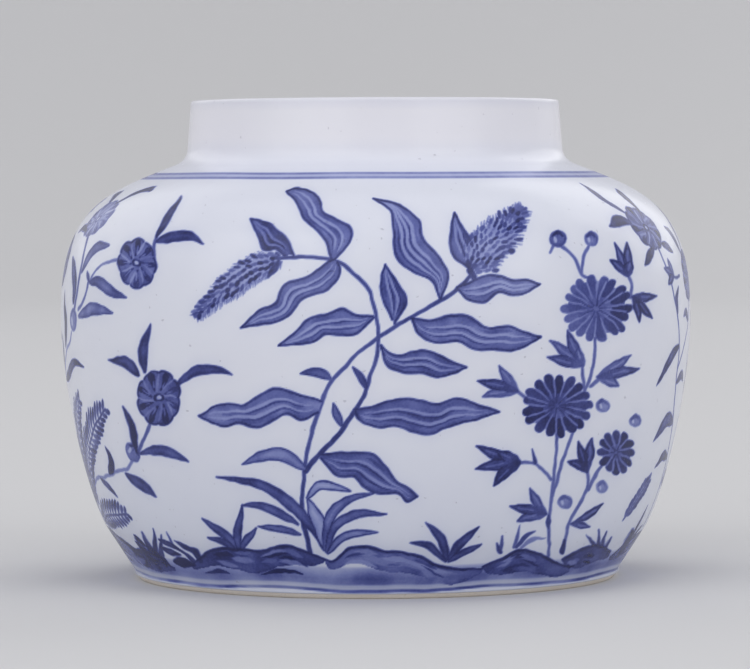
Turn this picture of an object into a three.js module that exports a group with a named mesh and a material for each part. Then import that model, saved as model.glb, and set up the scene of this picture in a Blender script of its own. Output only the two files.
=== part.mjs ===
// A squat porcelain jar with a straight collar, painted in blue under a clear glaze.
// It is modelled as the potter makes it: a turned foot ring and a floor, a lower bowl and an
// upper shell thrown apart and luted at the waist, a collar luted to the shoulder, and three
// coats of glaze. All sizes are in millimetres, +Z is up, and the origin is the middle of the
// plane that the foot rests on.

import * as THREE from "three";

// Outside of the glazed jar
const HEIGHT = 98.3;
const BELLY_RADIUS = 65;
const FOOT_RADIUS = 50.1;
const FOOT_WALL_TOP = 1.8;
const HEEL_BOTTOM_RADIUS = 51;
const HEEL_TOP_RADIUS = 55.4;
const HEEL_TOP = 10;
const WAIST_BOTTOM = 53.7;
const WAIST_TOP = 54.5;
const SHOULDER_EDGE_RADIUS = 42;
const SHOULDER_EDGE_HEIGHT = 84.8;
const COLLAR_BOTTOM_RADIUS = 38.7;
const COLLAR_BOTTOM_HEIGHT = 88.3;
const COLLAR_TOP_RADIUS = 38;
const LIP_ROUNDING = 0.8;

// Points, as radius and height, that draw the outside's bends towards them
const LOWER_WALL_PULLS = [
  [60.1, 17.3],
  [BELLY_RADIUS, 41],
];
const SHOULDER_PULLS = [
  [BELLY_RADIUS, 76],
  [56, 79.4],
];
const NECK_FILLET_PULLS = [
  [40.3, 85.4],
  [38.9, 86.2],
];

// Inside of the glazed jar
const FLOOR_HEIGHT = 8.4;
const FLOOR_RADIUS = 40;
const CAVITY_RADIUS = 61;
const WAIST_BEAD = 0.4;
const MOUTH_CORNER_RADIUS = 38.4;
const MOUTH_CORNER_HEIGHT = 82.5;
const MOUTH_BEND_RADIUS = 36.4;
const MOUTH_BEND_HEIGHT = 83.8;
const MOUTH_BOTTOM_RADIUS = 34.6;
const MOUTH_BOTTOM_HEIGHT = 87;
const MOUTH_RADIUS = 34.4;

// Points that draw the inside's bends towards them
const BOWL_PULLS = [
  [52, FLOOR_HEIGHT],
  [CAVITY_RADIUS, 30],
];
const UNDER_SHOULDER_PULLS = [
  [CAVITY_RADIUS, 73],
  [53, 76.6],
];
const MOUTH_BEND_PULL = [34.8, 85];

// Foot and base
const BASE_HEIGHT = 3.2;
const FOOT_INNER_RADIUS = 46.2;
const FOOT_REST_OUTER_RADIUS = 49;
const FOOT_REST_INNER_RADIUS = 47.2;
const FOOT_GLAZE_EDGE = 1;
const FOOT_INNER_CHAMFER = 0.9;

// Every coat of glaze has the same thickness, and every piece is turned in the same steps
// about the axis, so that neighbouring pieces meet face to face.
const GLAZE = 0.4;
const TURNING_STEPS = 48;

const porcelain = { color: 0xe9e6e0, roughness: 0.8, metalness: 0 };
const slip = { color: 0xded9d0, roughness: 0.9, metalness: 0 };
const biscuit = { color: 0xd9cdbb, roughness: 0.85, metalness: 0 };
const paintedGlaze = { color: 0xd5dbea, roughness: 0.12, metalness: 0 };
const clearGlaze = { color: 0xe4e7ee, roughness: 0.15, metalness: 0 };

const at = (radius, height) => new THREE.Vector2(radius, height);
const line = (from, to) => new THREE.LineCurve(from, to);
const bend = (from, [pull1, pull2], to) =>
  new THREE.CubicBezierCurve(from, at(...pull1), at(...pull2), to);
const corner = (from, pull, to) => new THREE.QuadraticBezierCurve(from, at(...pull), to);

// Follows a list of stretches, each a name, a curve and its number of steps, and returns
// all the points with the index at which each stretch starts.
function outline(stretches) {
  const [, firstCurve] = stretches[0];
  const points = [firstCurve.getPoint(0)];
  const start = {};
  for (const [name, curve, steps] of stretches) {
    start[name] = points.length - 1;
    points.push(...curve.getPoints(steps).slice(1));
  }
  start.end = points.length - 1;
  return { points, start };
}

// Moves each point of an outline into the clay by the thickness of the glaze, at right
// angles to the line through its two neighbours. The two ends move straight along theirs.
function underGlaze(points, side, firstMove, lastMove) {
  return points.map((point, i) => {
    if (i === 0) {
      return point.clone().addScaledVector(firstMove, GLAZE);
    }
    if (i === points.length - 1) {
      return point.clone().addScaledVector(lastMove, GLAZE);
    }
    const along = points[i + 1].clone().sub(points[i - 1]).normalize();
    return point.clone().add(at(-along.y * side * GLAZE, along.x * side * GLAZE));
  });
}

const inward = at(-1, 0);
const down = at(0, -1);

// Outside, from the edge of the glaze on the foot, up the wall and over the lip
const glazeEdge = at(FOOT_RADIUS, FOOT_GLAZE_EDGE);
const footTop = at(FOOT_RADIUS, FOOT_WALL_TOP);
const heelBottom = at(HEEL_BOTTOM_RADIUS, BASE_HEIGHT);
const heelTop = at(HEEL_TOP_RADIUS, HEEL_TOP);
const waistBottom = at(BELLY_RADIUS, WAIST_BOTTOM);
const waistTop = at(BELLY_RADIUS, WAIST_TOP);
const shoulderEdge = at(SHOULDER_EDGE_RADIUS, SHOULDER_EDGE_HEIGHT);
const collarBottom = at(COLLAR_BOTTOM_RADIUS, COLLAR_BOTTOM_HEIGHT);
const collarTop = at(COLLAR_TOP_RADIUS, HEIGHT - LIP_ROUNDING);
const lipOuterEdge = at(COLLAR_TOP_RADIUS - LIP_ROUNDING, HEIGHT);
const lipInnerEdge = at(MOUTH_RADIUS + LIP_ROUNDING, HEIGHT);

const outside = outline([
  ["foot", line(glazeEdge, footTop), 1],
  ["footTop", line(footTop, heelBottom), 1],
  ["heel", line(heelBottom, heelTop), 1],
  ["lowerWall", bend(heelTop, LOWER_WALL_PULLS, waistBottom), 7],
  ["waist", line(waistBottom, waistTop), 1],
  ["shoulder", bend(waistTop, SHOULDER_PULLS, shoulderEdge), 9],
  ["neckFillet", bend(shoulderEdge, NECK_FILLET_PULLS, collarBottom), 3],
  ["collar", line(collarBottom, collarTop), 1],
  ["lip", corner(collarTop, [COLLAR_TOP_RADIUS, HEIGHT], lipOuterEdge), 2],
  ["rim", line(lipOuterEdge, lipInnerEdge), 1],
]);
const clayOutside = underGlaze(outside.points, 1, inward, down);

// Inside, from the middle of the floor up to the inner edge of the lip. At the waist the
// squeezed slip leaves a low bead.
const floorMiddle = at(0, FLOOR_HEIGHT);
const floorCorner = at(FLOOR_RADIUS, FLOOR_HEIGHT);
const cavityWaistBottom = at(CAVITY_RADIUS, WAIST_BOTTOM);
const beadTop = at(CAVITY_RADIUS - WAIST_BEAD, (WAIST_BOTTOM + WAIST_TOP) / 2);
const cavityWaistTop = at(CAVITY_RADIUS, WAIST_TOP);
const mouthCorner = at(MOUTH_CORNER_RADIUS, MOUTH_CORNER_HEIGHT);
const mouthBend = at(MOUTH_BEND_RADIUS, MOUTH_BEND_HEIGHT);
const mouthBottom = at(MOUTH_BOTTOM_RADIUS, MOUTH_BOTTOM_HEIGHT);
const mouthTop = at(MOUTH_RADIUS, HEIGHT - LIP_ROUNDING);

const inside = outline([
  ["floor", line(floorMiddle, floorCorner), 1],
  ["bowl", bend(floorCorner, BOWL_PULLS, cavityWaistBottom), 6],
  ["waist", line(cavityWaistBottom, beadTop), 1],
  ["bead", line(beadTop, cavityWaistTop), 1],
  ["underShoulder", bend(cavityWaistTop, UNDER_SHOULDER_PULLS, mouthCorner), 7],
  ["mouthCorner", line(mouthCorner, mouthBend), 1],
  ["mouthBend", corner(mouthBend, MOUTH_BEND_PULL, mouthBottom), 2],
  ["mouth", line(mouthBottom, mouthTop), 1],
  ["lip", corner(mouthTop, [MOUTH_RADIUS, HEIGHT], lipInnerEdge), 2],
]);
const clayInside = underGlaze(inside.points, -1, down, down);

// The clay's points between the starts of two stretches: upwards on the outside, and
// downwards on the inside, so that the two together run round a wall's section
function outsideClay(from, to) {
  return clayOutside.slice(outside.start[from], outside.start[to] + 1);
}

function insideClay(from, to) {
  return clayInside.slice(inside.start[from], inside.start[to] + 1).reverse();
}

const floorEdge = clayInside[inside.start.bowl];
const footGlazeLine = clayOutside[outside.start.foot];

// Sections of the pieces, each as a closed run of points beside the axis
const sections = {
  foot_ring: [
    at(FOOT_REST_INNER_RADIUS, 0),
    at(FOOT_REST_OUTER_RADIUS, 0),
    footGlazeLine,
    ...outsideClay("footTop", "heel"),
    at(FOOT_INNER_RADIUS, BASE_HEIGHT),
    at(FOOT_INNER_RADIUS, FOOT_INNER_CHAMFER),
  ],
  base_disc: [
    at(0, BASE_HEIGHT),
    at(FLOOR_RADIUS, BASE_HEIGHT),
    floorEdge,
    at(0, FLOOR_HEIGHT - GLAZE),
  ],
  lower_body: [
    at(FLOOR_RADIUS, BASE_HEIGHT),
    at(FOOT_INNER_RADIUS, BASE_HEIGHT),
    ...outsideClay("heel", "waist"),
    ...insideClay("bowl", "waist"),
  ],
  waist_luting: [...outsideClay("waist", "shoulder"), ...insideClay("waist", "underShoulder")],
  upper_body: [
    ...outsideClay("shoulder", "neckFillet"),
    ...insideClay("underShoulder", "mouthCorner"),
  ],
  neck_luting: [
    ...outsideClay("neckFillet", "collar"),
    ...insideClay("mouthCorner", "mouthBend"),
  ],
  neck_collar: [...outsideClay("collar", "end"), ...insideClay("mouthBend", "end").slice(1)],
  outer_glaze: [...outside.points, ...clayOutside.slice().reverse()],
  inner_glaze: [...clayInside, ...inside.points.slice().reverse()],
  base_glaze: [
    at(0, BASE_HEIGHT - GLAZE),
    at(FOOT_INNER_RADIUS, BASE_HEIGHT - GLAZE),
    at(FOOT_INNER_RADIUS, BASE_HEIGHT),
    at(0, BASE_HEIGHT),
  ],
};

const finishes = {
  foot_ring: biscuit,
  base_disc: porcelain,
  lower_body: porcelain,
  waist_luting: slip,
  upper_body: porcelain,
  neck_luting: slip,
  neck_collar: porcelain,
  outer_glaze: paintedGlaze,
  inner_glaze: clearGlaze,
  base_glaze: clearGlaze,
};

// A piece turned from its section: the section closes on itself, or starts and ends on the
// axis, and the lathe's own axis is stood up along +Z.
function turnedPiece(name, section, finish) {
  const onAxis = section[0].x === 0 && section[section.length - 1].x === 0;
  const profile = onAxis ? section : [...section, section[0].clone()];
  const geometry = new THREE.LatheGeometry(profile, TURNING_STEPS);
  geometry.rotateX(Math.PI / 2);
  const mesh = new THREE.Mesh(geometry, new THREE.MeshStandardMaterial(finish));
  mesh.name = name;
  return mesh;
}

const jar = new THREE.Group();
jar.name = "jar";
for (const [name, section] of Object.entries(sections)) {
  jar.add(turnedPiece(name, section, finishes[name]));
}

export default jar;
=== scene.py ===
# A squat porcelain jar with a straight collar, painted with flowering plants in cobalt blue.
# The sections follow the jar as it is made: the thrown and luted clay, the turned foot, the
# painting on the dry wall, and the coats of glaze over everything but the foot's edge.
# Places and sizes on the jar are written in millimetres and turned into metres by MM.

import math

import bpy
import numpy as np
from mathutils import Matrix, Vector


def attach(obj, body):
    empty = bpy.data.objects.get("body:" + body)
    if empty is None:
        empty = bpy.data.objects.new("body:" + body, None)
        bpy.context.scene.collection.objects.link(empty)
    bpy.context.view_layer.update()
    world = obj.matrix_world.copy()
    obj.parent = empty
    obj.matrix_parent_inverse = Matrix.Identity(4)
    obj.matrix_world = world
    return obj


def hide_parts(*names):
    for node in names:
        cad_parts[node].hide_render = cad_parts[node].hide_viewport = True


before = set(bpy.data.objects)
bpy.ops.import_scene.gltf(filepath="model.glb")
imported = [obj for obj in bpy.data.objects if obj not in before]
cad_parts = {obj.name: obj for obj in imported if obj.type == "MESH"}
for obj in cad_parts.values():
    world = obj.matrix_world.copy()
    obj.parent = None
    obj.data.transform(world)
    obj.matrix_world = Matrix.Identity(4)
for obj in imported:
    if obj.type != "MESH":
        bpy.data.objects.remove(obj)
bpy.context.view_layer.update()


# Camera: square on to the crossing stems and level with the shoulder, far enough away that
# the jar's sides are seen almost straight on. It looks a little down and leans a little.
MM = 0.001
EYE_DISTANCE = 847.0
EYE_HEIGHT = 83.0
LOOK_DOWN = math.radians(2.24)
LEAN = math.radians(0.25)
FOCAL_LENGTH = 196.4
SENSOR_WIDTH = 36.0
NEAREST_SEEN = 10.0

camera = bpy.data.objects.new("camera", bpy.data.cameras.new("camera"))
bpy.context.scene.collection.objects.link(camera)
camera.data.sensor_width = SENSOR_WIDTH
camera.data.lens = FOCAL_LENGTH
camera.data.clip_start = NEAREST_SEEN * MM
camera.location = (0, -EYE_DISTANCE * MM, EYE_HEIGHT * MM)
camera.rotation_euler = (math.pi / 2 - LOOK_DOWN, LEAN, 0)
bpy.context.scene.camera = camera


# Studio: a pale round floor that sweeps up into a low wall all the way round, so that the jar
# looks the same from every side, under five wide soft lamps and an open pale sky. Its sizes
# are in metres.
FLOOR_COLOUR = (0.66, 0.66, 0.67, 1)
FLOOR_RINGS = (0.001, 0.4, 1.0)
FLOOR_RADIUS = 1.9
SWEEP_RADIUS = 1.1
SWEEP_STEPS = 16
WALL_TOP = 1.2
ROUND_STEPS = 96
LAMP_AIM = Vector((0, 0, 0.05))
SKY_COLOUR = (0.97, 0.97, 1.0, 1)
SKY_STRENGTH = 0.5


class Signal:
    """An output of a node, which sums and products can be written with."""

    def __init__(self, socket):
        self.socket = socket

    def combined(self, operation, first, second):
        tree = self.socket.id_data
        node = tree.nodes.new("ShaderNodeMath")
        node.operation = operation
        for slot, value in zip(node.inputs, (first, second)):
            join(value, slot)
        return Signal(node.outputs[0])

    def __add__(self, other):
        return self.combined("ADD", self, other)

    def __radd__(self, other):
        return self.combined("ADD", other, self)

    def __sub__(self, other):
        return self.combined("SUBTRACT", self, other)

    def __rsub__(self, other):
        return self.combined("SUBTRACT", other, self)

    def __mul__(self, other):
        return self.combined("MULTIPLY", self, other)

    def __rmul__(self, other):
        return self.combined("MULTIPLY", other, self)

    def __truediv__(self, other):
        return self.combined("DIVIDE", self, other)

    def __rtruediv__(self, other):
        return self.combined("DIVIDE", other, self)

    def __pow__(self, other):
        return self.combined("POWER", self, other)

    def __rpow__(self, other):
        return self.combined("POWER", other, self)


def join(value, slot):
    """Links a signal to a socket, or sets the socket to a plain value."""
    if isinstance(value, Signal):
        slot.id_data.links.new(value.socket, slot)
    else:
        slot.default_value = value


class Finish:
    """The node material of one finish, with its shader and its place on the jar in metres."""

    def __init__(self, name):
        self.material = bpy.data.materials.new(name)
        self.material.use_nodes = True
        self.tree = self.material.node_tree
        self.tree.nodes.clear()
        self.shader = self.add("ShaderNodeBsdfPrincipled")
        self.add("ShaderNodeOutputMaterial", {}, {0: Signal(self.shader.outputs[0])})
        self.place = self.node("ShaderNodeTexCoord", output="Object")

    def add(self, kind, settings=None, inputs=None):
        """Adds any node: its settings first, then its sockets, by name or number."""
        made = self.tree.nodes.new(kind)
        for key, value in (settings or {}).items():
            if key == "stops":
                set_stops(made.color_ramp.elements, value)
            else:
                setattr(made, key, value)
        for key, value in (inputs or {}).items():
            join(value, made.inputs[key])
        return made

    def node(self, kind, settings=None, inputs=None, output=0):
        """Adds any node and gives one of its outputs."""
        return Signal(self.add(kind, settings, inputs).outputs[output])

    def along(self, axis):
        """The place along one axis in metres: 0 is across, 1 is back and 2 is up."""
        return self.node("ShaderNodeSeparateXYZ", {}, {0: self.place}, axis)

    def noise(self, size, detail=2.0):
        """Soft noise whose blots are about size millimetres across, from 0 to 1."""
        inputs = {"Vector": self.place, "Scale": 1 / (size * MM), "Detail": detail}
        return self.node("ShaderNodeTexNoise", {}, inputs)

    def lines(self, way, detail):
        """Soft noise along one signal only, with about one line to each 1 that it grows."""
        inputs = {"W": way, "Scale": 1.0, "Detail": detail}
        return self.node("ShaderNodeTexNoise", {"noise_dimensions": "1D"}, inputs)

    def ramp(self, share, stops):
        """The colour that stops give for a share from 0 to 1."""
        return self.node("ShaderNodeValToRGB", {"stops": stops}, {"Fac": share})

    def step(self, value, low, high):
        """0 where value is below low, 1 above high, and smooth between them."""
        settings = {"interpolation_type": "SMOOTHSTEP"}
        inputs = {"Value": value, "From Min": low, "From Max": high}
        return self.node("ShaderNodeMapRange", settings, inputs)

    def blend(self, share, first, second, kind="MIX"):
        """A colour that goes from first to second with share, or is tinted by second."""
        settings = {"data_type": "RGBA", "blend_type": kind}
        return self.node("ShaderNodeMix", settings, {0: share, 6: first, 7: second}, 2)

    def bump(self, height, depth):
        """A relief of depth millimetres where height goes from 0 to 1."""
        inputs = {"Height": height, "Distance": depth * MM, "Strength": 1.0}
        return self.node("ShaderNodeBump", {}, inputs)

    def set(self, **sockets):
        """Sets or links the shader's own sockets, with _ for each space in their names."""
        for key, value in sockets.items():
            join(value, self.shader.inputs[key.replace("_", " ")])


def set_stops(elements, stops):
    """Gives a colour ramp its stops: colours as they look on a screen, by place from 0 to 1."""
    while len(elements) > 1:
        elements.remove(elements[-1])
    for i, (place, colour) in enumerate(stops.items()):
        element = elements[0] if i == 0 else elements.new(place)
        element.position = place
        element.color = rgb(*colour)


def rgb(red, green, blue):
    """A colour given as it looks on a screen, from 0 to 255, turned into linear light."""
    values = [c / 255 for c in (red, green, blue)]
    linear = [c / 12.92 if c <= 0.04045 else ((c + 0.055) / 1.055) ** 2.4 for c in values]
    return (*linear, 1)


def turned_mesh(name, radius, height, columns, finish, inward=False):
    """A smooth mesh turned about the axis from a section in millimetres: radius and height
    hold one value a row, or one for each row and column. Column 0 is at the front, and they
    go round to the right. Its faces look away from the axis, or with inward towards it."""
    rows = len(radius)
    turn = np.arange(columns) * 2 * np.pi / columns
    radius = np.broadcast_to(np.reshape(radius, (rows, -1)), (rows, columns))
    height = np.broadcast_to(np.reshape(height, (rows, -1)), (rows, columns))
    points = np.stack([radius * np.sin(turn), -radius * np.cos(turn), height], axis=-1)
    row, column = np.mgrid[0 : rows - 1, 0:columns]
    beside = (column + 1) % columns
    quad = [
        row * columns + column,
        row * columns + beside,
        (row + 1) * columns + beside,
        (row + 1) * columns + column,
    ]
    faces = np.stack(quad[::-1] if inward else quad, axis=-1).reshape(-1, 4)
    mesh = bpy.data.meshes.new(name)
    mesh.vertices.add(rows * columns)
    mesh.vertices.foreach_set("co", (points * MM).astype(np.float32).ravel())
    mesh.loops.add(faces.size)
    mesh.loops.foreach_set("vertex_index", faces.astype(np.int32).ravel())
    mesh.polygons.add(len(faces))
    mesh.polygons.foreach_set("loop_start", np.arange(0, faces.size, 4, dtype=np.int32))
    mesh.polygons.foreach_set("use_smooth", np.ones(len(faces), bool))
    mesh.update(calc_edges=True)
    mesh.materials.append(finish.material)
    made = bpy.data.objects.new(name, mesh)
    bpy.context.scene.collection.objects.link(made)
    return made


studio_finish = Finish("studio_paper")
studio_finish.set(Base_Color=FLOOR_COLOUR, Roughness=0.9, Specular_IOR_Level=0.1)
sweep_turn = np.linspace(0, np.pi / 2, SWEEP_STEPS)
sweep_radius = FLOOR_RADIUS + SWEEP_RADIUS * np.sin(sweep_turn)
sweep_height = SWEEP_RADIUS * (1 - np.cos(sweep_turn))
studio_radius = np.concatenate([FLOOR_RINGS, sweep_radius, [FLOOR_RADIUS + SWEEP_RADIUS]])
studio_height = np.concatenate([np.zeros(len(FLOOR_RINGS)), sweep_height, [WALL_TOP]])
studio = turned_mesh(
    "studio_sweep", studio_radius / MM, studio_height / MM, ROUND_STEPS, studio_finish
)

for name, place, size, power in (
    ("lamp_top", (0, -0.3, 2.0), 2.4, 8),
    ("lamp_front_left", (-1.5, -1.7, 1.1), 2.5, 20.5),
    ("lamp_front_right", (1.6, -1.6, 1.1), 2.0, 14),
    ("lamp_behind_left", (-1.6, 1.6, 1.2), 2.1, 8),
    ("lamp_behind_right", (1.5, 1.7, 1.2), 2.1, 14),
):
    lamp = bpy.data.objects.new(name, bpy.data.lights.new(name, "AREA"))
    bpy.context.scene.collection.objects.link(lamp)
    lamp.data.size = size
    lamp.data.energy = power
    lamp.location = place
    lamp.rotation_euler = (LAMP_AIM - Vector(place)).to_track_quat("-Z", "Y").to_euler()

world = bpy.data.worlds.new("sky")
bpy.context.scene.world = world
world.use_nodes = True
sky = world.node_tree.nodes["Background"]
sky.inputs["Color"].default_value = SKY_COLOUR
sky.inputs["Strength"].default_value = SKY_STRENGTH
bpy.context.scene.view_settings.view_transform = "Standard"


# Clay: the floor disc, the two thrown halves and the collar are of fine white porcelain,
# matte and close-grained, with the potter's finger lines left by the turning wheel.
CLAY_WHITE = rgb(236, 232, 226)
CLAY_SHADE = rgb(222, 216, 208)
TURNING_LINES = 1.6
CLAY_RELIEF = 0.08


def fired_clay(name, pale, dark, grit):
    """Unglazed fired clay: faint mottling, fine turning lines round the axis and grit."""
    clay = Finish(name)
    mottle = clay.noise(9, detail=4)
    specks = clay.step(clay.noise(0.45, detail=1), 0.66, 0.78)
    lines = clay.lines(clay.along(2) / MM * TURNING_LINES, detail=3.0)
    tone = mottle * 0.6 + lines * 0.4
    clay.set(
        Base_Color=clay.blend(tone + specks * grit, pale, dark),
        Roughness=0.72 + 0.2 * mottle,
        Specular_IOR_Level=0.35,
        Normal=clay.bump(lines * 0.7 + specks * 0.3 + mottle * 0.4, CLAY_RELIEF),
    )
    return clay


def dressed(node_name, finish):
    """A solid of the jar, with a finish in place of its plain material."""
    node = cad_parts[node_name]
    node.data.materials.clear()
    node.data.materials.append(finish.material)
    return node


porcelain = fired_clay("porcelain_clay", CLAY_WHITE, CLAY_SHADE, grit=0.3)
for node_name in ("base_disc", "lower_body", "upper_body", "neck_collar"):
    clay_node = dressed(node_name, porcelain)


# Luting: thick slip of the same clay, brushed on where the two halves meet at the waist and
# where the collar sits on the shoulder, a little creamier and rougher than the thrown wall.
SLIP_PALE = rgb(231, 226, 217)
SLIP_DARK = rgb(214, 206, 194)
slip = fired_clay("luting_clay", SLIP_PALE, SLIP_DARK, grit=0.6)
for node_name in ("waist_luting", "neck_luting"):
    slip_node = dressed(node_name, slip)


# Foot ring: turned from the lower half when it is leather-hard, wiped bare of glaze on its
# edge and rubbed smooth, with a warm tinge from the kiln where the glaze ends.
FOOT_RADIUS = 50.1
FOOT_GLAZE_EDGE = 1.0
FOOT_WALL_TOP = 1.8
FOOT_REST_OUTER = 49.0
FOOT_REST_INNER = 47.2
FOOT_INNER_RADIUS = 46.2
FOOT_INNER_CHAMFER = 0.9
BASE_HEIGHT = 3.2
GLAZE = 0.4
FOOT_COLUMNS = 384
FOOT_SPACING = 0.22
BISCUIT_PALE = rgb(233, 227, 219)
BISCUIT_DARK = rgb(214, 203, 190)


def evened(section, spacing):
    """A run of section points, radius and height, resampled at an even spacing."""
    section = np.array(section, float)
    steps = np.hypot(*np.diff(section, axis=0).T)
    along = np.concatenate([[0], np.cumsum(steps)])
    even = np.linspace(0, along[-1], max(2, round(along[-1] / spacing) + 1))
    return np.interp(even, along, section[:, 0]), np.interp(even, along, section[:, 1])


foot_radius, foot_height = evened(
    [
        (FOOT_INNER_RADIUS, BASE_HEIGHT),
        (FOOT_INNER_RADIUS, FOOT_INNER_CHAMFER + 0.15),
        (FOOT_INNER_RADIUS + 0.1, FOOT_INNER_CHAMFER - 0.1),
        (FOOT_REST_INNER - 0.15, 0.12),
        (FOOT_REST_INNER + 0.1, 0.0),
        (FOOT_REST_OUTER - 0.1, 0.0),
        (FOOT_REST_OUTER + 0.15, 0.1),
        (FOOT_RADIUS - GLAZE - 0.05, FOOT_GLAZE_EDGE - 0.25),
        (FOOT_RADIUS - GLAZE, FOOT_GLAZE_EDGE + 0.2),
        (FOOT_RADIUS - GLAZE, BASE_HEIGHT - GLAZE),
    ],
    FOOT_SPACING,
)
biscuit = fired_clay("foot_clay", BISCUIT_PALE, BISCUIT_DARK, grit=1.0)
foot = turned_mesh("foot_ring_turned", foot_radius, foot_height, FOOT_COLUMNS, biscuit)
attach(foot, "root")
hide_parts("foot_ring")


# Wall: the outer section of the glazed jar, from the edge of the glaze on the foot, up the
# heel, the lower wall and the shoulder, through the fillet and up the collar to the lip.
HEIGHT = 98.3
BELLY_RADIUS = 65.0
GLAZE_EDGE = [
    (FOOT_RADIUS - GLAZE - 0.1, FOOT_GLAZE_EDGE - 0.03),
    (FOOT_RADIUS - 0.1, FOOT_GLAZE_EDGE),
    (FOOT_RADIUS, FOOT_GLAZE_EDGE + 0.12),
    (FOOT_RADIUS, FOOT_WALL_TOP),
]
HEEL = [(51.0, 3.2), (55.4, 10.0)]
LOWER_WALL = [(55.4, 10.0), (60.1, 17.3), (BELLY_RADIUS, 41.0), (BELLY_RADIUS, 53.7)]
SHOULDER = [(BELLY_RADIUS, 54.5), (BELLY_RADIUS, 76.0), (56.0, 79.4), (42.0, 84.8)]
NECK_FILLET = [(42.0, 84.8), (40.3, 85.4), (38.9, 86.2), (38.7, 88.3)]
COLLAR_TOP = (38.0, 97.5)
LIP_CORNER = (38.0, HEIGHT)
LIP_OUTER = (37.2, HEIGHT)
LIP_INNER = (35.2, HEIGHT)
WALL_COLUMNS = 1632
WALL_SPACING = 0.25
LIP_SPACING = 0.1


def bend(pulls, steps=60):
    """Points on the Bezier curve with these two, three or four control points."""
    share = np.linspace(0, 1, steps)[:, None]
    points = [np.array(p, float) * np.ones((steps, 1)) for p in pulls]
    while len(points) > 1:
        points = [a + (b - a) * share for a, b in zip(points, points[1:])]
    return points[0]


wall_line = np.vstack(
    [
        GLAZE_EDGE,
        bend(HEEL),
        bend(LOWER_WALL, 200),
        bend(SHOULDER, 200),
        bend(NECK_FILLET),
        [COLLAR_TOP],
    ]
)
wall_radius, wall_height = evened(wall_line, WALL_SPACING)
lip_radius, lip_height = evened(
    np.vstack([bend([COLLAR_TOP, LIP_CORNER, LIP_OUTER]), [LIP_INNER]]), LIP_SPACING
)
wall_radius = np.concatenate([wall_radius, lip_radius[1:]])
wall_height = np.concatenate([wall_height, lip_height[1:]])
wall_steps = np.hypot(np.diff(wall_radius), np.diff(wall_height))
wall_along = np.concatenate([[0], np.cumsum(wall_steps)])
wall_turn = np.arange(WALL_COLUMNS) * 2 * np.pi / WALL_COLUMNS
cobalt = np.zeros((len(wall_radius), WALL_COLUMNS), np.float32)


# Brush: the painter draws on the dry wall with a pointed brush full of ground cobalt, dark
# for lines and thinned for washes. Each side of the jar is painted square on, so a plant's
# places are across and up as that side is seen, and are then laid round the wall.
CELL = 0.125
SHEET_LEFT = -67.0
SHEET_BOTTOM = -8.0
SHEET_COLUMNS = 1072
SHEET_ROWS = 768
BLOT_CELLS = 16
BLOT_SOFTNESS = 11
STROKE_STEP = 0.3
EDGE_SOFTNESS = 0.24
LINE_INK = 0.93
WASH_INK = 0.5
LEAST_FACING = 0.3
FARTHEST_ASIDE = 0.985
FIRST_SCALE = 1.06
GUESSES = 6


def spline(points):
    """A smooth line through given points, in even steps of about STROKE_STEP."""
    points = np.array(points, float)
    if len(points) == 2:
        dense = points
    else:
        ends = np.vstack([2 * points[0] - points[1], points, 2 * points[-1] - points[-2]])
        t = np.linspace(0, 1, 10, endpoint=False)[:, None]
        runs = [
            0.5 * (2 * b + (c - a) * t + (2 * a - 5 * b + 4 * c - d) * t**2)
            + 0.5 * (3 * b - a - 3 * c + d) * t**3
            for a, b, c, d in zip(ends, ends[1:], ends[2:], ends[3:])
        ]
        dense = np.vstack(runs + [points[-1:]])
    along = np.concatenate([[0], np.cumsum(np.hypot(*np.diff(dense, axis=0).T))])
    even = np.linspace(0, along[-1], max(3, round(along[-1] / STROKE_STEP) + 1))
    return np.column_stack([np.interp(even, along, dense[:, k]) for k in (0, 1)])


def between(edge, other, share):
    """The line that runs a share of the way from one edge of a leaf to the other."""
    a, b = spline(edge), spline(other)
    t = np.linspace(0, 1, 40)
    lines = [
        np.column_stack([np.interp(t, np.linspace(0, 1, len(e)), e[:, k]) for k in (0, 1)])
        for e in (a, b)
    ]
    return lines[0] * (1 - share) + lines[1] * share


def part_of(line, start, end):
    """The stretch of a line between two shares of its length."""
    count = len(line)
    return line[int(start * (count - 1)) : int(end * (count - 1)) + 1]


def turned_by(points, angle, centre, size):
    """Points scaled by size, turned anticlockwise by angle degrees and moved to centre."""
    c, s = math.cos(math.radians(angle)), math.sin(math.radians(angle))
    points = np.array(points, float) * size
    return points @ np.array([[c, s], [-s, c]]) + np.array(centre)


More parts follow.
